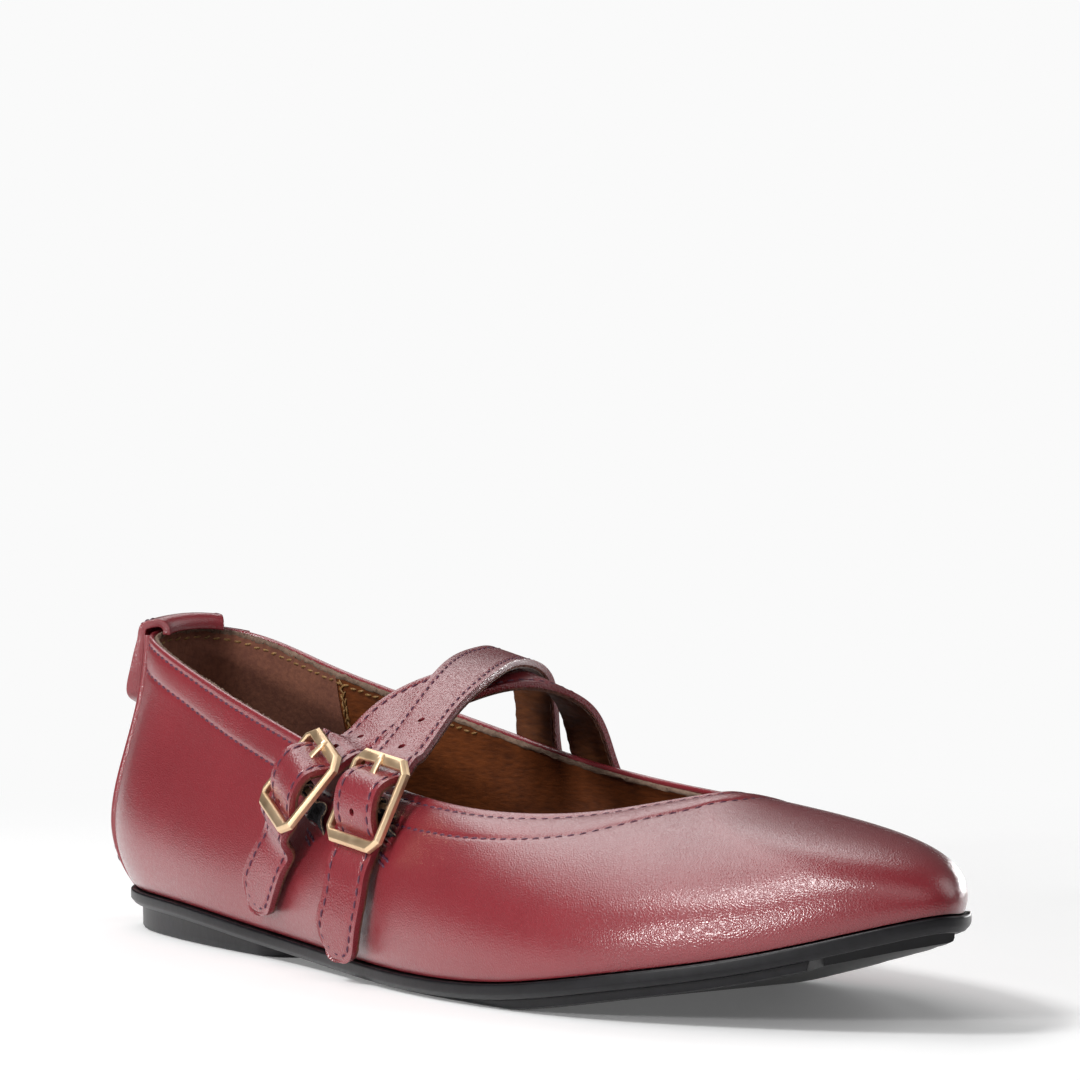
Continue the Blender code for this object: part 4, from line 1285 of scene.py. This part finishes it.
def make_buckle_frame(place):
    """Eight-sided cast frame: bevelled rim outside and in, a rest for the prong."""
    item = flat_sheet("buckle_" + place, np.arange(9), np.arange(len(FRAME_SECTION)))
    flat = corners(item)
    column = whole(flat[:, 0])
    row = whole(flat[:, 1])
    window = (FRAME_WIDTH - 2.0 * FRAME_SIDE_BAR, FRAME_LENGTH - 2.0 * FRAME_END_BAR)
    laid = np.zeros((len(flat), 3))
    for k, (inside, inset, height) in enumerate(FRAME_SECTION):
        if inside:
            outline = octagon(window[0] + 2 * inset, window[1] + 2 * inset, WINDOW_CORNER + 0.4 * inset)
        else:
            outline = octagon(FRAME_WIDTH - 2 * inset, FRAME_LENGTH - 2 * inset, FRAME_CORNER - 0.4 * inset)
        here = row == k
        laid[here, :2] = outline[column[here]]
        laid[here, 2] = height
    set_corners(item, laid)
    clean(item, 0.001)
    rest = (0.0, 0.5 * FRAME_LENGTH - 0.5 * FRAME_END_BAR, REST_HEIGHT)
    bore(item, rest, REST_RADIUS, 24, (math.pi / 2, 0.0, 0.0))
    bevel(item, 0.10, 3, 24)
    set_corners(item, to_row_frame(place_in_frame(place, corners(item))))
    return finish_piece(item, GOLD, ["buckle_frame_" + place], angle=30.0)


def make_centre_bar(place):
    """Round bar across the frame that carries the prong and the elastic."""
    deselect_all()
    reach = 0.5 * FRAME_WIDTH - 0.5 * FRAME_SIDE_BAR
    bpy.ops.mesh.primitive_cylinder_add(vertices=28, radius=CENTRE_BAR_RADIUS, depth=2.0 * reach,
                                        location=(0.0, 0.0, -CENTRE_BAR_DROP),
                                        rotation=(0.0, math.pi / 2, 0.0))
    item = bpy.context.object
    item.name = item.data.name = "centre_bar_" + place
    bpy.ops.object.transform_apply(location=True, rotation=True, scale=True)
    bevel(item, 0.12, 2, 50)
    set_corners(item, to_row_frame(place_in_frame(place, corners(item))))
    return finish_piece(item, GOLD, angle=40.0)


def hook_route(radius, start, end, count):
    """Arc round the centre bar, from one angle in degrees to another."""
    angles = np.radians(np.linspace(start, end, count))
    return [(radius * math.cos(a), radius * math.sin(a) - CENTRE_BAR_DROP) for a in angles]


def make_prong(place):
    """Flat-topped prong curled round the centre bar, its tip on the rest."""
    route = hook_route(CENTRE_BAR_RADIUS + 0.3 + 0.5 * PRONG_THICK, -30.0, -255.0, 12)
    route += [(1.6, 0.85), (4.0, 1.1), (6.4, 0.95), (8.2, 0.66)]
    _, across, up, out = frame_axes(place)
    centres = [in_frame(place, 0.0, along, height) for along, height in route]
    path = path_through(centres, [-across] * len(centres), 0.2)
    length = path["run"][-1]
    section = np.array((
        # across, height: once round the prong
        (-0.50, 0.50), (-0.30, 0.58), (0.0, 0.60), (0.30, 0.58), (0.50, 0.50), (0.60, 0.30), (0.62, 0.0),
        (0.58, -0.34), (0.40, -0.42), (0.0, -0.44), (-0.40, -0.42), (-0.58, -0.34), (-0.62, 0.0),
        (-0.60, 0.30), (-0.50, 0.50),
    )) * np.array((PRONG_WIDTH / 1.24, PRONG_THICK / 1.04))
    run = np.concatenate([np.linspace(0.0, length - 0.5, 50), [length - 0.25, length - 0.08, length]])
    item = flat_sheet("buckle_prong_" + place, run, np.arange(len(section)))
    flat = corners(item)
    row = whole(flat[:, 1])
    taper = np.interp(flat[:, 0], (0.0, length - 4.0, length - 0.5, length - 0.2, length),
                      (1.0, 1.0, 0.86, 0.74, 0.55))
    strip = np.stack([flat[:, 0], section[row, 0] * taper,
                      -section[row, 1] * np.minimum(taper * 1.05, 1.0)], axis=-1)
    set_corners(item, to_row_frame(lay(path, strip)[0]))
    clean(item)
    cap_ends(item)
    clean(item)
    return finish_piece(item, GOLD, ["prong_" + place], angle=40.0)


# Elastic from each centre bar down to its slit: along the frame, shift, clear of the last.
ELASTIC_ENDS = {
    "front": ((-2.0, 1.3, 0.7), (-3.0, 2.3, 0.5), (-4.0, 3.3, 0.3), (-4.8, 4.1, -0.5), (-5.2, 4.5, -1.4)),
    "rear": ((-2.0, 1.2, 0.7), (-3.0, 2.0, 0.5), (-4.0, 2.8, 0.3), (-4.8, 3.4, -0.5), (-5.3, 3.7, -1.4)),
}
ELASTIC_WIDTH = 7.2
RIB_PITCH = 0.9             # along the elastic, one rib to the next
HERRINGBONE = 1.15          # stripes of slanting ribs for each 2 mm across
SELVEDGE_PITCH = 0.42


def elastic_path(place):
    """Round the centre bar, down along the last and into the slit."""
    radius = CENTRE_BAR_RADIUS + 0.3 + KEEPER_THICK
    centres = [in_frame(place, 0.3, a, h) for a, h in hook_route(radius, -50.0, 190.0, 12)]
    _, across, _, _ = frame_axes(place)
    for along, shift, clear in ELASTIC_ENDS[place]:
        face = max(height_of_last(place, shift + edge, along) for edge in (-4.0, 0.0, 4.0))
        if clear < 0.3:
            face = height_of_last(place, shift, along)
        centres.append(in_frame(place, shift, along, face + clear + KEEPER_THICK))
    return path_through(centres, [-across] * len(centres))


def make_elastic(place):
    """Black woven elastic loop: herringbone ribs and a fuzzy pale selvedge."""
    path = elastic_path(place)
    length = path["run"][-1]
    run = np.arange(0.0, length, 0.22)
    across = np.linspace(-0.5, 0.5, 33) * ELASTIC_WIDTH
    item = flat_sheet("elastic_" + place, run, across)
    flat = corners(item)
    rib = np.abs(((flat[:, 1] * HERRINGBONE) % 2.0) - 1.0)
    weave = np.sin(2.0 * math.pi * (flat[:, 0] / RIB_PITCH + 0.9 * rib))
    flat[:, 2] = -0.06 + 0.09 * weave
    set_corners(item, flat)
    modify(item, "SOLIDIFY", thickness=0.5, offset=-1.0)
    set_corners(item, to_row_frame(lay(path, corners(item))[0]))
    finish_piece(item, ELASTIC, ["keeper_" + place], angle=60.0)
    chance = np.random.default_rng(21)
    for name, side in (("near", -1.0), ("far", 1.0)):
        line = np.arange(0.2, length - 0.2, SELVEDGE_PITCH)
        beside = side * 0.5 * ELASTIC_WIDTH + chance.normal(0.0, 0.06, len(line))
        strip = np.stack([line, beside, chance.normal(-0.25, 0.08, len(line))], axis=-1)
        origin, out = lay(path, strip)
        ahead = unit(np.gradient(origin, axis=0) + chance.normal(0.0, 0.12, origin.shape))
        out = square_to(out, ahead)
        fuzz = copies("elastic_%s_selvedge_%s" % (place, name), STITCH,
                      [(o, 0.5 * f, 0.6 * np.cross(u, f), 0.6 * u) for o, f, u in zip(origin, ahead, out)])
        finish_piece(fuzz, SELVEDGE, angle=60.0)
    return path


# Slits in the leather where the elastic goes in: share of the way to the toe,
# distance down, half length; the tack's stitches lie near the toe end of each.
SLITS = {
    "front": (0.552, 10.4, 4.6),
    "rear": (0.412, 12.0, 4.6),
}
SLIT_SLOPE = 1.0            # how far the toe end lies below the middle
TACK_AHEAD = -2.6           # from the slit's toe end to the tack
TACK_STITCHES = ((-0.9, 2.1), (0.5, 2.5), (-0.7, 3.6), (0.7, 4.1), (1.9, 3.0))


def make_slit(place):
    """A cut with folded lips for the elastic, closed by a bar of short stitches."""
    share, down, half = SLITS[place]
    middle = share * TOE
    beyond, before = (on_leather(np.array(((middle + step, down),)))[0] for step in (1.0, -1.0))
    scale = np.linalg.norm(beyond - before) / 2.0
    half_places = half / scale
    around = np.linspace(-1.0, 1.0, 41)
    section = np.array((
        # down, lift: over the upper lip, into the cut and out over the lower lip
        (-1.15, 0.02), (-0.80, 0.22), (-0.45, 0.30), (-0.18, 0.16), (-0.06, -0.35),
        (0.06, -0.35), (0.18, 0.10), (0.45, 0.20), (0.80, 0.14), (1.15, 0.02),
    ))
    item = flat_sheet("elastic_slit_" + place, around, np.arange(len(section)))
    flat = corners(item)
    row = whole(flat[:, 1])
    open_share = np.sqrt(np.clip(1.0 - flat[:, 0] ** 2, 0.0, 1.0))
    u = middle + flat[:, 0] * half_places
    d = down + section[row, 0] * (0.15 + 0.85 * open_share) + SLIT_SLOPE * flat[:, 0]
    lift = leather_relief(u, d) + section[row, 1] * open_share + 0.02
    set_corners(item, to_row_frame(on_wall(u, d, lift)))
    clean(item, 0.000002)
    face_out(item)
    finish_piece(item, UPPER_LEATHER, angle=60.0)
    places = []
    for ahead, drop in TACK_STITCHES:
        here = (middle + (half + TACK_AHEAD + ahead) / scale, down + SLIT_SLOPE + drop)
        places.append(tack_stitch(on_leather, here, (1.2 / scale, 0.75), 0.10, 1.15, 1.2))
    tack = copies("bar_tack_" + place, STITCH, places)
    finish_piece(tack, THREAD, angle=60.0)


for buckle in ("front", "rear"):
    make_buckle_frame(buckle)
    make_centre_bar(buckle)
    make_prong(buckle)
    make_elastic(buckle)
    make_slit(buckle)

# ------------------------------------------------------------------ heel tab
TAB_REACH_OUTER = 0.76      # shares of the back strip that the tab covers
TAB_REACH_INNER = 0.52
TAB_STITCH_EDGE = 4.0       # columns from the tab's sides to its stitches
TAB_STITCH_TOP = 26.0       # row where they start, behind the collar
TAB_PATH = np.array((
    # down, middle, side, spread, thick
    (0.6,  -3.2,  -3.2,  1.00, 1.6),
    (-0.7, -3.05, -3.05, 1.00, 1.6),
    (-1.6, -2.1,  -2.1,  1.00, 1.6),
    (-1.7, -0.7,  -0.7,  1.00, 1.6),
    (-1.0,  0.7,  0.7, 1.00, 1.6),
    (1.0,   1.2,  1.2, 1.00, 1.6),
    (4.0,   1.55, 1.55, 1.00, 2.1),
    (8.0,   1.8,  1.8, 1.00, 2.6),
    (11.0,  1.95, 1.95, 0.97, 2.9),
    (13.5,  1.75, 1.75, 0.88, 2.4),
    (15.4,  1.2,  1.2, 0.62, 1.3),
))


def tab_sheet():
    """The tab's middle face: rows down the path, columns across it, evenly read."""
    steps = np.hypot(np.diff(TAB_PATH[:, 0]), np.diff(TAB_PATH[:, 1]))
    knots = np.concatenate([[0.0], np.cumsum(steps)])
    read = Curve(knots, TAB_PATH).at(np.linspace(0.0, knots[-1], 61))
    outer_end, inner_end = strip_edges()
    across = np.linspace(-1.0, 1.0, 41)
    heights = np.linspace(0.0, 1.0, 60)
    rows = []
    for down, middle, side, share, _ in read:
        share = min(share, 1.0)
        places = np.where(across < 0, -across * share * TAB_REACH_OUTER * outer_end,
                          ROUND - across * share * TAB_REACH_INNER * (ROUND - inner_end))
        flat = outward(places, 2)
        top = SECTION_CURVE.at(places)[:, 4]
        level = top - max(down, 0.0)
        over_strip = BACK_STRIP_RISE * np.clip((middle + 0.6) / 1.2, 0.0, 1.0)
        out = middle + (side - middle) * across ** 2 + over_strip
        row = []
        for k, place in enumerate(places):
            wall = wall_face(np.full(len(heights), place), heights)
            row.append([np.interp(level[k], wall[:, 2], wall[:, axis]) for axis in (0, 1)] + [top[k] - down])
        rows.append(np.array(row) + out[:, None] * flat)
    return np.array(rows), read[:, 4]


def make_heel_tab():
    """Folded pull tab over the back of the collar, turned edges, stitched all round."""
    middle, thick = tab_sheet()
    count_down, count_across, _ = middle.shape
    down = unit(np.gradient(middle, axis=0))
    side = unit(np.gradient(middle, axis=1))
    normal = unit(np.cross(side, down))
    if (normal[45, :] * outward(np.zeros(count_across), 2)).sum() < 0.0:
        normal = -normal
    half = 0.5 * thick[:, None, None]
    face = middle + half * normal
    item = flat_sheet("heel_pull_tab", np.arange(count_down), np.arange(count_across))
    flat = corners(item)
    set_corners(item, np.stack([flat[:, 0], flat[:, 1], np.zeros(len(flat))], axis=-1))
    modify(item, "SOLIDIFY", thickness=1.0, offset=0.0)
    flat = corners(item)
    row, column = whole(flat[:, 0]), whole(flat[:, 1])
    offset = 2.0 * flat[:, 2:] * half[row, 0] * normal[row, column]
    set_corners(item, to_row_frame(middle[row, column] + offset))
    bevel(item, 0.5 * MM, 3, 60)
    clean(item, 0.0)
    finish_piece(item, UPPER_LEATHER, ["heel_tab"], angle=50.0)

    def surface(points):
        r = np.clip(points[:, 0], 0, count_down - 1.001)
        c = np.clip(points[:, 1], 0, count_across - 1.001)
        i, j = r.astype(int), c.astype(int)
        a, b = (r - i)[:, None], (c - j)[:, None]
        blend = lambda grid: ((grid[i, j] * (1 - a) + grid[i + 1, j] * a) * (1 - b)
                              + (grid[i, j + 1] * (1 - a) + grid[i + 1, j + 1] * a) * b)
        return blend(face), unit(blend(normal))

    far = count_across - 1 - TAB_STITCH_EDGE
    low = count_down - 5.0
    line = np.concatenate([
        np.stack([np.linspace(TAB_STITCH_TOP, low - 4.0, 30), np.full(30, TAB_STITCH_EDGE)], axis=-1),
        np.stack([np.full(20, low), np.linspace(TAB_STITCH_EDGE + 4.0, far - 4.0, 20)], axis=-1),
        np.stack([np.linspace(low - 4.0, TAB_STITCH_TOP, 30), np.full(30, far)], axis=-1),
    ])
    stitch_line("heel_tab_stitches", surface, line, THREAD, pitch=2.2)
    tacks = [tack_stitch(surface, (row, column), (0.0, 0.8), 0.05, 1.0, 1.0)
             for column in (2.0, count_across - 3.0) for row in np.linspace(12.0, 22.0, 7)]
    finish_piece(copies("heel_tab_bar_tacks", STITCH, tacks), THREAD, angle=60.0)


make_heel_tab()

# -------------------------------------------------- seams of the lining, tacks
def inside_wall(depth):
    """Surface for stitches on the lining: points (ring place, distance down)."""
    def surface(points):
        heights = height_at(points[:, 0], points[:, 1] / wall_length(points[:, 0]))
        normal = wall_normal(points[:, 0], heights)
        return wall_face(points[:, 0], heights) - depth * normal, -normal
    return surface


def make_lining_seams():
    """Gold-brown thread: a row under the collar round the heel, zigzags down its ends."""
    around = np.linspace(HEEL_LINING_INNER - 60.0 - ROUND, HEEL_LINING_OUTER + 60.0, 500)
    line = np.stack([around % ROUND, 2.3 + 0.1 * np.sin(around)], axis=-1)
    inner = around < 0.0
    for name, part in (("inner", inner), ("outer", ~inner)):
        stitch_line("lining_stitches_" + name, inside_wall(1.98), line[part], GOLD_THREAD,
                    pitch=2.2, slant=14.0)
    for name, place in (("outer", HEEL_LINING_OUTER), ("inner", HEEL_LINING_INNER)):
        downs = np.arange(1.8, 30.0, 0.8)
        zig = 0.75 * np.where(np.arange(len(downs)) % 2 == 0, 1.0, -1.0)
        line = np.stack([place + zig, downs], axis=-1)
        stitch_line("heel_seam_zigzag_" + name, inside_wall(2.0), line, GOLD_THREAD,
                    pitch=1.25, slant=0.0)


def make_strap_anchors():
    """Box of stitches that holds each strap's end against the inner quarter."""
    for place, name in (("rear", "strap_under"), ("front", "strap_over")):
        path = PATHS[place]
        length = path["run"][-1]
        end, start, side = length - 1.8, length - 7.5, 3.2
        box = np.array(((end, -side), (start, -side), (start, side), (end, side), (end, -side)))
        line = np.concatenate([np.linspace(box[k], box[k + 1], 12, endpoint=False) for k in range(4)]
                              + [box[-1:]])
        line = np.hstack([line, np.full((len(line), 1), 0.06)])
        stitch_line(name + "_anchor_stitches", lambda flat, path=path: lay(path, flat), line, THREAD,
                    pitch=1.9)


make_lining_seams()
make_strap_anchors()

# ------------------------------------------------------------- floor and light
def make_floor():
    """Pale floor that catches the shadow and fades into the backdrop."""
    deselect_all()
    bpy.ops.mesh.primitive_plane_add(size=1.0, location=(0.0, 0.0, 0.0))
    floor = bpy.context.object
    floor.name = "floor"
    floor.scale = (60.0, 60.0, 1.0)
    bpy.ops.object.transform_apply(location=False, rotation=False, scale=True)
    finish, tree, shader = new_finish("pale_floor")
    place = add_node(tree, "ShaderNodeTexCoord")
    grain = add_node(tree, "ShaderNodeTexNoise", {"Vector": (place, "Object"), "Scale": 24.0})
    tone = add_node(tree, "ShaderNodeValToRGB", {"Fac": (grain, "Fac")})
    set_ramp(tone, ((0.3, hex_colour("#fdfdfd")), (0.7, hex_colour("#ffffff"))))
    tree.links.new(tone.outputs["Color"], shader.inputs["Base Color"])
    shader.inputs["Roughness"].default_value = 0.7
    shader.inputs["Specular IOR Level"].default_value = 0.2
    shader.inputs["Emission Color"].default_value = hex_colour("#fafafa")
    shader.inputs["Emission Strength"].default_value = 0.10
    reach = add_node(tree, "ShaderNodeVectorMath", {0: (place, "Object")}, operation="LENGTH")
    fade = add_node(tree, "ShaderNodeMapRange",
                    {"Value": (reach, "Value"), "From Min": 0.16, "From Max": 0.42},
                    interpolation_type="SMOOTHSTEP")
    glow = add_node(tree, "ShaderNodeEmission", {"Color": hex_colour("#fafafa"), "Strength": 1.0})
    both = add_node(tree, "ShaderNodeMixShader",
                    {0: (fade, "Result"), 1: (shader, "BSDF"), 2: (glow, "Emission")})
    tree.links.new(both.outputs["Shader"], tree.nodes["Material Output"].inputs["Surface"])
    floor.data.materials.append(finish)


def make_world(backdrop, fill):
    """White paper behind the shoe; the dark room beyond the lamps lights it only a little."""
    world = bpy.data.worlds.new("studio")
    bpy.context.scene.world = world
    world.use_nodes = True
    tree = world.node_tree
    paper = tree.nodes["Background"]
    paper.inputs["Color"].default_value = hex_colour("#fafafa")
    paper.inputs["Strength"].default_value = backdrop
    room = add_node(tree, "ShaderNodeBackground", {"Color": hex_colour("#ffffff"), "Strength": fill})
    ray = add_node(tree, "ShaderNodeLightPath")
    both = add_node(tree, "ShaderNodeMixShader",
                    {0: (ray, "Is Camera Ray"), 1: (room, "Background"), 2: (paper, "Background")})
    tree.links.new(both.outputs["Shader"], tree.nodes["World Output"].inputs["Surface"])


def way_to(azimuth, elevation):
    """Direction from the shoe at an azimuth and elevation in degrees."""
    a, e = math.radians(azimuth), math.radians(elevation)
    return Vector((math.sin(a) * math.cos(e), -math.cos(a) * math.cos(e), math.sin(e)))


def add_lamp(name, azimuth, elevation, distance, width, height, power):
    """Softbox round the shoe, facing it."""
    light = bpy.data.lights.new(name, "AREA")
    light.shape = "RECTANGLE"
    light.size = width
    light.size_y = height
    light.energy = power
    item = bpy.data.objects.new(name, light)
    bpy.context.scene.collection.objects.link(item)
    aim = Vector((0.0, 0.0, 0.025))
    item.location = aim + way_to(azimuth, elevation) * distance
    item.rotation_euler = (aim - item.location).to_track_quat("-Z", "Y").to_euler()


make_floor()
make_world(1.0, 0.06)
LAMPS = (
    # name, azimuth, elevation, distance, width, height, power
    ("top_softbox", -62.0, 57.0, 1.2, 1.0, 0.40, 4.2),
    ("rear_softbox", -115.0, 40.0, 1.2, 0.6, 0.5, 1.9),
    ("low_window", 5.0, 15.0, 1.2, 0.16, 0.14, 6.0),
    ("camera_side", 60.0, 45.0, 1.2, 0.8, 0.8, 2.2),
    ("far_side", 160.0, 35.0, 1.2, 0.8, 0.8, 3.0),
    ("key_window", -4.0, 50.0, 1.2, 0.34, 0.22, 6.8),
    ("toe_rim", -150.0, 3.0, 1.4, 0.5, 0.10, 2.4),
)
for row in LAMPS:
    add_lamp(*row)

# ------------------------------------------------------------------- camera
VIEW_AZIMUTH = 54.8
VIEW_ELEVATION = 5.16
VIEW_DISTANCE = 1.25
VIEW_TARGET = Vector((0.0016, 0.0020, 0.025))
LENS = 223.3
LOOK_UP = 2.55              # degrees the camera looks above the target
LOOK_RIGHT = 0.106          # and to its right


def make_camera():
    """Long lens, low over the floor, looking at the outer side from ahead."""
    back = way_to(VIEW_AZIMUTH, VIEW_ELEVATION)
    lens = bpy.data.cameras.new("camera")
    lens.lens = LENS
    lens.sensor_width = 36.0
    lens.clip_start = 0.05
    lens.clip_end = 200.0
    item = bpy.data.objects.new("camera", lens)
    bpy.context.scene.collection.objects.link(item)
    item.location = VIEW_TARGET + back * VIEW_DISTANCE
    turn = (-back).to_track_quat("-Z", "Y").to_matrix().to_4x4()
    tilt = Matrix.Rotation(math.radians(LOOK_UP), 4, "X")
    pan = Matrix.Rotation(-math.radians(LOOK_RIGHT), 4, "Y")
    item.rotation_euler = (turn @ tilt @ pan).to_euler()
    bpy.context.scene.camera = item


make_camera()
bpy.data.objects.remove(STITCH)
bpy.context.scene.view_settings.view_transform = "Standard"
